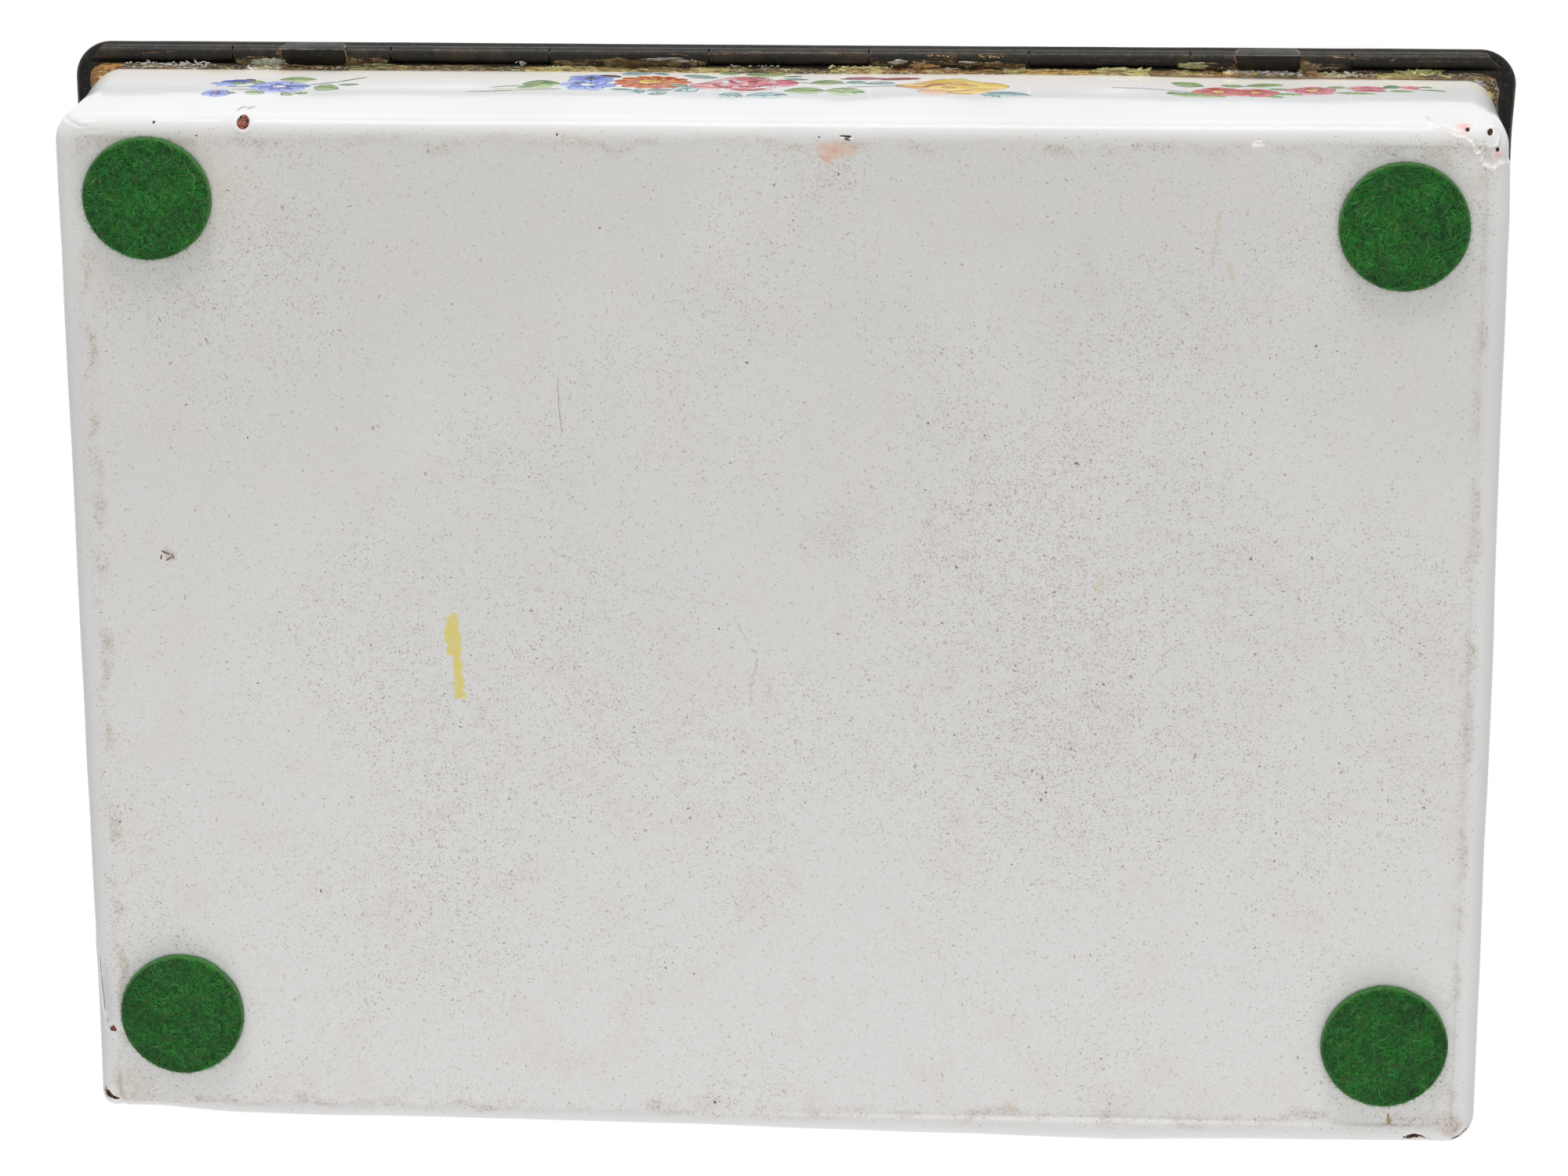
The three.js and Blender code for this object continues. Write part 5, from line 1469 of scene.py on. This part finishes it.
CENTRE_SPRAY = painted(
    *line((31.2, 13.8), (26.5, 14.4), (22.0, 15.2), width=0.14),
    *line((29.1, 15.7), (26.0, 16.4), (23.1, 17.5), width=0.12),
    *line((28.6, 14.9), (25.6, 15.2), (23.0, 15.8), tone="leaf"), *leaf(24.2, 17.2, 1.9, 1.3, 176),
    (23.4, 17.4, 1.0, 0.5, 176, "dark", 0, 2), *leaf(25.3, 15.9, 1.2, 0.35, 160),
    *bloom(19.4, 19.3, 2.6, 1.9, 6, 0.5, "sky", "blue", "night", 0.72),
    (17.6, 20.4, 1.2, 0.5, 12, "night", 0, 3),
    *bloom(19.5, 16.8, 2.9, 2.3, 6, 0.1, "sky", "blue", "white", 0.66),
    (20.6, 17.5, 0.5, 0.2, 20, "night", 0, 3), (19.5, 16.8, 0.8, 0.6, 0, "white", 0, 4),
    (19.2, 17.0, 0.25, 0.2, 0, "violet", 0, 5), *leaf(15.0, 22.0, 1.7, 1.0, -14, "teal", "slate"),
    *leaf(12.6, 21.9, 0.9, 0.6, 30, "teal", "slate"), *leaf(8.6, 20.8, 1.9, 0.9, 16, "teal", "slate"),
    *leaf(16.0, 14.9, 1.2, 0.45, 188, "teal", "slate"), *leaf(14.4, 14.2, 0.95, 0.8, 250, "mist", "slate"),
    *leaf(12.3, 14.9, 1.4, 0.55, -10, "teal", "slate"), *leaf(12.3, 13.3, 1.1, 0.7, -34, "mist", "slate"),
    *leaf(9.6, 15.4, 1.5, 1.3, -40, "mist", "slate"), *leaf(10.6, 17.0, 1.2, 0.6, 20, "teal", "slate"),
    *bloom(13.2, 18.1, 4.0, 2.7, 13, 0.2, "rust", "amber", "gold", 0.95),
    *bloom(13.6, 17.8, 2.4, 1.5, 9, 0.0, "rust", "crimson", "gold", 0.9),
    (13.5, 17.9, 1.1, 0.75, 0, "gold", 0, 5), (13.3, 17.8, 0.4, 0.3, 0, "amber", 0, 6),
    *leaf(5.8, 22.6, 1.1, 0.65, 0), *leaf(2.2, 22.2, 2.1, 1.15, 176), *leaf(-0.5, 21.4, 1.0, 0.35, -8),
    *leaf(5.1, 12.9, 1.3, 1.35, 200, "mist", "slate"), *leaf(1.6, 13.1, 2.1, 1.45, 172, "mist", "slate"),
    *leaf(-1.0, 20.1, 1.3, 0.5, 10, "teal", "slate"), (7.6, 17.1, 2.0, 1.6, 170, "blush"),
    (7.8, 16.4, 1.8, 0.3, 190, "rose", 0, 1), (7.5, 18.0, 1.8, 0.3, 168, "rose", 0.3, 1),
    *rose(3.9, 18.0, 3.6, 3.4), (0.1, 18.4, 1.4, 1.5, 0, "pink"),
    (0.0, 18.8, 1.3, 0.25, 6, "crimson", 0.5, 2), *leaf(-4.1, 18.8, 1.7, 0.8, 176),
    *leaf(-2.0, 15.4, 2.1, 1.3, 176), *leaf(-6.0, 15.2, 2.1, 1.5, 190, "pale", "dark"),
    *line((-1.2, 18.7), (-3.0, 18.2), (-6.0, 18.4)), *line((-6.2, 17.0), (-9.0, 17.2), (-12.0, 17.5)),
    (-7.6, 20.4, 2.4, 0.6, 178, "plum"), (-7.3, 20.9, 1.5, 0.22, 178, "crimson", 0, 1),
    (-11.3, 20.2, 2.1, 0.55, 172, "brown"), (-10.9, 20.7, 1.4, 0.25, 170, "rose", 0, 1),
    *leaf(-7.0, 18.7, 1.1, 0.6, 180, "teal", "slate"), *leaf(-9.4, 18.3, 1.6, 0.6, 176, "teal", "slate"),
    (-12.7, 17.3, 1.9, 1.1, 186, "amber"), (-12.6, 17.6, 1.5, 0.4, 184, "yellow", 0, 1),
    (-15.2, 18.8, 1.9, 1.3, 150, "yellow"), (-14.7, 14.9, 1.7, 1.2, 200, "peach"),
    (-18.4, 15.3, 2.1, 1.2, -20, "yellow"), (-20.0, 17.4, 2.2, 1.6, 0, "yellow"),
    (-17.6, 19.2, 2.1, 1.1, 20, "yellow"), (-16.3, 16.8, 2.4, 1.7, 0, "yellow"),
    (-16.3, 17.5, 2.4, 0.3, 4, "amber", 0.7, 2), (-16.6, 15.9, 2.2, 0.24, -4, "amber", -0.6, 2),
    (-14.8, 17.2, 1.3, 0.24, -24, "brown", 0.4, 3), (-17.9, 17.5, 1.5, 0.2, 24, "amber", 0.4, 2),
    (-16.6, 18.3, 1.6, 0.18, 2, "amber", 0.5, 3), (-19.6, 16.7, 1.6, 0.18, 10, "amber", -0.5, 2),
    (-16.2, 16.7, 0.8, 0.5, 0, "amber", 0, 2), (-14.0, 18.2, 1.5, 0.16, 30, "amber", 0.5, 2),
    (-17.2, 14.6, 1.4, 0.16, 10, "amber", -0.4, 2), *leaf(-22.1, 14.2, 2.4, 0.85, 197, "teal", "slate"),
    *leaf(-20.3, 13.4, 1.3, 0.7, 216, "mist", "slate"),
)
RIGHT_SPRAY = painted(
    *line((-32.2, 17.3), (-35.0, 17.2), (-37.6, 16.6), (-40.5, 15.6), width=0.08),
    *leaf(-39.7, 19.2, 1.8, 1.1, 25), *leaf(-40.4, 14.5, 3.1, 0.8, 194),
    (-38.6, 15.3, 1.2, 0.3, 26, "dark", 0, 2), *leaf(-44.1, 18.8, 1.3, 0.7, 8),
    *leaf(-47.2, 19.2, 2.0, 0.85, 166), *leaf(-48.5, 17.4, 1.0, 0.5, 0), *leaf(-49.3, 14.9, 1.6, 0.55, 184),
    *leaf(-48.1, 13.6, 0.9, 0.65, 190, "pale", "dark"), *leaf(-54.2, 18.4, 1.0, 0.5, 170),
    *leaf(-56.0, 15.6, 2.1, 0.55, 188), *leaf(-59.7, 18.9, 1.0, 0.7, 160, "dark", "dark"),
    *leaf(-60.5, 16.8, 1.3, 0.4, 184), *leaf(-63.0, 19.0, 0.7, 0.3, 190, "dark", "dark"),
    *leaf(-63.8, 17.3, 1.2, 0.35, 190), *line((-61.5, 17.9), (-64.6, 16.9)),
    *line((-49.6, 17.5), (-53.5, 17.8), (-58.0, 18.2), tone="dark"),
    *bloom(-42.6, 16.0, 2.6, 2.0, 5, 0.0, "salmon", "crimson", "gold"),
    *bloom(-46.3, 15.6, 2.4, 1.9, 5, 0.6, "salmon", "crimson", "gold"),
    *bloom(-51.8, 16.8, 2.7, 1.8, 5, 0.1, "pink", "crimson", "gold"),
    *bloom(-57.2, 17.8, 2.0, 1.5, 5, 0.3, "pink", "rose", "rose"),
    (-57.6, 16.9, 1.6, 0.25, 4, "crimson", 0, 3),
    *bloom(-61.5, 18.7, 1.0, 0.9, 4, 0.3, "pink", "rose", "rose"),
)


def mapped(rows, scale=1.0, turn=0.0, move=(0.0, 0.0), mirror=1, about=(0.0, 0.0)):
    """Strokes moved to the origin from a middle, mirrored, scaled, turned by degrees and moved into place."""
    cos, sin = np.cos(np.radians(turn)), np.sin(np.radians(turn))
    made = []
    for row in rows:
        dx, dz = (row.x - about[0]) * mirror * scale, (row.z - about[1]) * scale
        x, z = move[0] + dx * cos - dz * sin, move[1] + dx * sin + dz * cos
        tilt = (row.tilt if mirror > 0 else 180 - row.tilt) + turn
        bend = row.bend * scale * mirror
        made.append(row._replace(x=x, z=z, a=row.a * scale, b=row.b * scale, tilt=tilt, bend=bend))
    return made


def strokes(name, rows, place, body, slot, rise=0.03, runs=11, around=10):
    """A brush stroke for each row: rings along an oval, domed outside and sunk a little into the enamel.

    The half width follows b (1 - s^2)^point (1 + 0.2 s), and the middle line bends by bend (1 - s^2).
    """
    x, z, a, b, tilt, bend, layer, point = (
        np.array([getattr(row, key) for row in rows], float)[:, None, None]
        for key in ("x", "z", "a", "b", "tilt", "bend", "layer", "point")
    )
    s = np.linspace(-1, 1, runs + 2)[1:-1][None, :, None]
    round_ = turns(around)[None, None]
    draw = np.random.default_rng(len(rows))
    hand = draw.normal(0, 0.03, x.shape) * a + bend
    width = b * (1 - s * s) ** point * (1 + 0.2 * s + 0.1 * draw.normal(0, 1, x.shape) * np.sin(4 * s))
    along = a * s + 0 * round_
    across = width * np.cos(round_) + hand * (1 - s * s)
    order = np.arange(len(rows))[:, None, None]
    dome = np.sin(round_) * (1 - s * s) ** 0.4
    height = np.where(dome > 0, dome * rise, dome * 0.06) + 0.55 * rise * layer + 0.001 * (order % 7)
    cos, sin = np.cos(np.radians(tilt)), np.sin(np.radians(tilt))
    rings = place(x + along * cos - across * sin, z + along * sin + across * cos, height)
    tips = [place(x + end * a * cos, z + end * a * sin, 0 * a)[:, 0, 0] for end in (-1, 1)]
    colours = np.array([[linear(*tone)[:3] for tone in TONES[row.tone]] for row in rows])
    share = np.clip((s + 1) / 2 + 0.2 * draw.normal(0, 1, x.shape) + 0 * round_, 0, 1)[..., None]
    tone = colours[:, None, None, 0] * (1 - share) + colours[:, None, None, 1] * share
    thin = (0.45 * np.abs(np.cos(round_)) ** 3 + 0 * s + 0 * x)[..., None]
    tone = tone * (1 - thin) + np.array(WALL_WHITE[:3]) * thin
    tone = np.concatenate([tone.reshape(len(rows), -1, 3), colours[:, 0, None], colours[:, 1, None]], 1)
    lengthways = 0.35 * along / np.maximum(a, 0.01) + 3.7 * order
    brush = np.stack([lengthways, across / np.maximum(b, 0.05) + 0 * order, 0 * along], -1)
    brush = np.concatenate([brush.reshape(len(rows), -1, 3), np.zeros((len(rows), 2, 3))], 1)
    return piece(
        name, skinned(rings, np.stack(tips, 1)), paint, body, (), slot,
        tone=tone.reshape(-1, 3), brush=brush.reshape(-1, 3),
    )


def spots(x, y, z):
    """Points from places along each axis, stretched to one shape."""
    return np.stack(np.broadcast_arrays(x, y, z), -1).astype(float)


def on_wall(axis, side):
    """What puts paint on the wall that faces along X (0) or Y (1), on its high or its low side."""
    wall = BOX_MIDDLE[axis] + side * (BOX_WIDTH, BOX_DEPTH)[axis] / 2

    def place(along, z, height):
        spot = spots(wall, along, z) if axis == 0 else spots(along, wall, z)
        spot[..., axis] += side * (wall_wave(spot) + height)
        return spot

    return place


def on_top(x, y, height):
    """Paint on the dome of the lid."""
    spot = spots(x, y, 0)
    spot[..., 2] = PARTING_LEVEL + LID_HEIGHT + crown_rise(spot[..., :2])
    spot[..., 2] += LID_WAVE * wall_wave(spot) + height
    return spot


def on_underside(x, y, height):
    """Marks on the flat underside and, near its edge, on the rounded heel."""
    spot = spots(x, y, PAD_THICKNESS)
    from_middle = np.abs(spot[..., :2] - BOX_MIDDLE)
    inset = np.min(np.array([BOX_WIDTH, BOX_DEPTH]) / 2 - from_middle, axis=-1)
    drop = np.clip(HEEL_RADIUS - inset, 0, HEEL_RADIUS)
    spot[..., 2] += HEEL_RADIUS - np.sqrt(HEEL_RADIUS**2 - drop**2)
    spot[..., 2] -= 0.2 * wall_wave(spot) + height
    return spot


strokes("sprays_back", LEFT_SPRAY + CENTRE_SPRAY + RIGHT_SPRAY, on_wall(1, 1), "base", "enamel_base")
front_rows = mapped(CENTRE_SPRAY + LEFT_SPRAY + RIGHT_SPRAY, mirror=-1)
strokes("sprays_front", front_rows, on_wall(1, -1), "base", "enamel_base", runs=9, around=8)
side_rows = mapped(CENTRE_SPRAY, 0.8, 0, (2.0, 14.4), 1, (3.0, 18.0))
side_rows += mapped(RIGHT_SPRAY, 0.8, 0, (-32.0, 14.0), -1, (-50.0, 17.0))
strokes("sprays_right", side_rows, on_wall(0, 1), "base", "enamel_base", runs=9, around=8)
strokes("sprays_left", mapped(side_rows, mirror=-1), on_wall(0, -1), "base", "enamel_base", runs=9, around=8)
# Each spray lies twice on the lid: the spray, its own middle, and the scale, turn and place of both
LID_SPRAYS = [
    (CENTRE_SPRAY, (3, 17.5), (1.55, 12, (2, 4)), (1.1, 195, (0, -10))),
    (LEFT_SPRAY, (49, 15.5), (1.3, -30, (48, 30)), (1.3, 150, (-48, -28))),
    (RIGHT_SPRAY, (-48, 17), (1.0, 40, (-46, 30)), (1.0, 220, (47, -28))),
]
lid_rows = []
for spray, middle, *places in LID_SPRAYS:
    for scale, turn, move in places:
        lid_rows += mapped(spray, scale, turn, move, 1, middle)
strokes("sprays_lid", lid_rows, on_top, "lid", "enamel_lid", runs=8, around=8)

# Hairlines and dark specks on the underside, and a painted shadow and a painted highlight along the raised
# flow line
MARKS = painted(
    (-61.62, -48.95, 0.32, 0.26, 80, "crack"), (-61.5, -48.4, 0.3, 0.11, 84, "crack"),
    *line((-61.6, -49.2), (-60.0, -49.9), (-58.0, -50.5), (-57.0, -50.4), (-56.4, -50.1),
          width=0.05, tone="hair"),
    *line((-61.6, -49.3), (-62.6, -49.7), (-63.3, -50.5), (-63.45, -51.1), width=0.05, tone="hair"),
    *line((-61.6, -49.3), (-63.1, -49.6), (-64.7, -50.1), (-65.7, -50.8), width=0.05, tone="hair"),
    *line((69.5, -48.1), (69.45, -49.2), width=0.07, tone="soot"),
    # Painted shadow along one side of the raised flow line, and a painted highlight in white along its other
    # side
    *line((69.5, -33.4), (69.38, -35.6), (69.22, -37.9), (69.12, -39.9), (68.95, -40.9), (68.6, -41.3),
          width=0.08, tone="shadow"),
    *line((69.85, -37.0), (69.6, -39.9), (69.4, -41.2), (68.9, -41.9), width=0.12, tone="white"),
    (55.9, 51.5, 0.14, 0.1, 20, "soot"), (6.7, -48.3, 0.18, 0.12, 60, "soot"),
    (-26.6, -14.3, 0.13, 0.11, 0, "soot"), (-69.3, 19.5, 0.22, 0.15, 90, "soot"),
    (60.7, 9.45, 0.5, 0.13, 205, "umber"), (60.0, 9.1, 0.3, 0.1, 70, "umber"),
    (60.4, 8.85, 0.4, 0.09, -30, "umber"), (61.15, 9.0, 0.28, 0.1, 100, "umber"),
    *line((21.3, 27.9), (21.0, 22.2), width=0.03, tone="crack"), (31.8, -8.3, 0.12, 0.08, 40, "soot"),
    (52.0, -4.0, 0.1, 0.08, 0, "soot"), (-55.5, -10.8, 0.12, 0.08, 30, "soot"),
    (-6.9, 51.6, 0.3, 0.14, 20, "soot"), (-4.2, 51.8, 0.12, 0.08, 0, "soot"),
)
strokes("marks_underside", MARKS, on_underside, "base", "enamel_base", rise=0.02)


# Stage


def floor_plane():
    """A large pale floor under the felt, which throws no light or shade on the box."""
    mesh = bpy.data.meshes.new("floor")
    corners = [(2.0 * x, 2.0 * y, 0) for x, y in ((-1, -1), (1, -1), (1, 1), (-1, 1))]
    mesh.from_pydata(corners, [], [(0, 1, 2, 3)])
    mesh.materials.append(floor_finish("pale_floor"))
    made = bpy.data.objects.new("floor", mesh)
    bpy.context.scene.collection.objects.link(made)
    made.visible_shadow = made.visible_diffuse = made.visible_glossy = made.visible_transmission = False


def lamp(name, way, distance, size, power, mirrored):
    """A square soft lamp that way from the middle of the box, shining at it; mirrored if glaze shows it."""
    light = bpy.data.lights.new(name, "AREA")
    light.size, light.energy = size, power
    made = bpy.data.objects.new(name, light)
    aim = Vector(way).normalized()
    made.location = aim * distance + Vector((0, 0, 0.015))
    made.rotation_mode = "QUATERNION"
    made.rotation_quaternion = aim.to_track_quat("Z", "Y")
    made.visible_camera, made.visible_glossy = False, mirrored
    bpy.context.scene.collection.objects.link(made)


# Strength of the white room as the box is lit by it
AMBIENT = 0.42


def surroundings():
    """White to the camera and in reflections, and an even soft light of a lower level on everything else."""
    world = bpy.data.worlds.new("white_room")
    bpy.context.scene.world = world
    world.use_nodes = True
    tree = world.node_tree
    background = tree.nodes["Background"]
    background.inputs["Color"].default_value = (1, 1, 1, 1)
    path = tree.nodes.new("ShaderNodeLightPath").outputs
    shown = path["Is Camera Ray"]
    for ray in ("Is Glossy Ray", "Is Transmission Ray"):
        most = tree.nodes.new("ShaderNodeMath")
        most.operation = "MAXIMUM"
        tree.links.new(shown, most.inputs[0])
        tree.links.new(path[ray], most.inputs[1])
        shown = most.outputs[0]
    level = tree.nodes.new("ShaderNodeMapRange")
    level.inputs["To Min"].default_value = AMBIENT
    level.inputs["To Max"].default_value = 1.0
    tree.links.new(shown, level.inputs["Value"])
    tree.links.new(level.outputs[0], background.inputs["Strength"])


# The photograph's camera: lens and sensor in millimetres, place in millimetres, and turn
LENS, SENSOR = 110.965, 36
CAMERA_PLACE = np.array([-28.221, 146.944, -452.582])
CAMERA_TURN = (-0.0296466, 0.0019875, 0.9883694, 0.1491409)


def camera():
    """The camera that sees the box as the photograph does, from below and a little behind."""
    lens = bpy.data.cameras.new("camera")
    lens.lens, lens.sensor_width = LENS, SENSOR
    lens.clip_start, lens.clip_end = 0.01, 20
    made = bpy.data.objects.new("camera", lens)
    made.location = CAMERA_PLACE * MM
    made.rotation_mode = "QUATERNION"
    made.rotation_quaternion = Quaternion(CAMERA_TURN)
    bpy.context.scene.collection.objects.link(made)
    bpy.context.scene.camera = made


floor_plane()
lamp("under_lamp", (-0.08, 0.1, -1), 1.0, 1.0, 3.9, False)
lamp("back_lamp", (0.05, 0.97, -0.2), 1.2, 0.42, 8.2, True)
lamp("top_lamp", (-0.3, 0.1, 1), 1.4, 0.8, 7.0, False)
lamp("front_lamp", (-0.15, -1, -0.4), 1.4, 0.8, 6.4, False)
surroundings()
camera()
bpy.context.scene.view_settings.view_transform = "Standard"
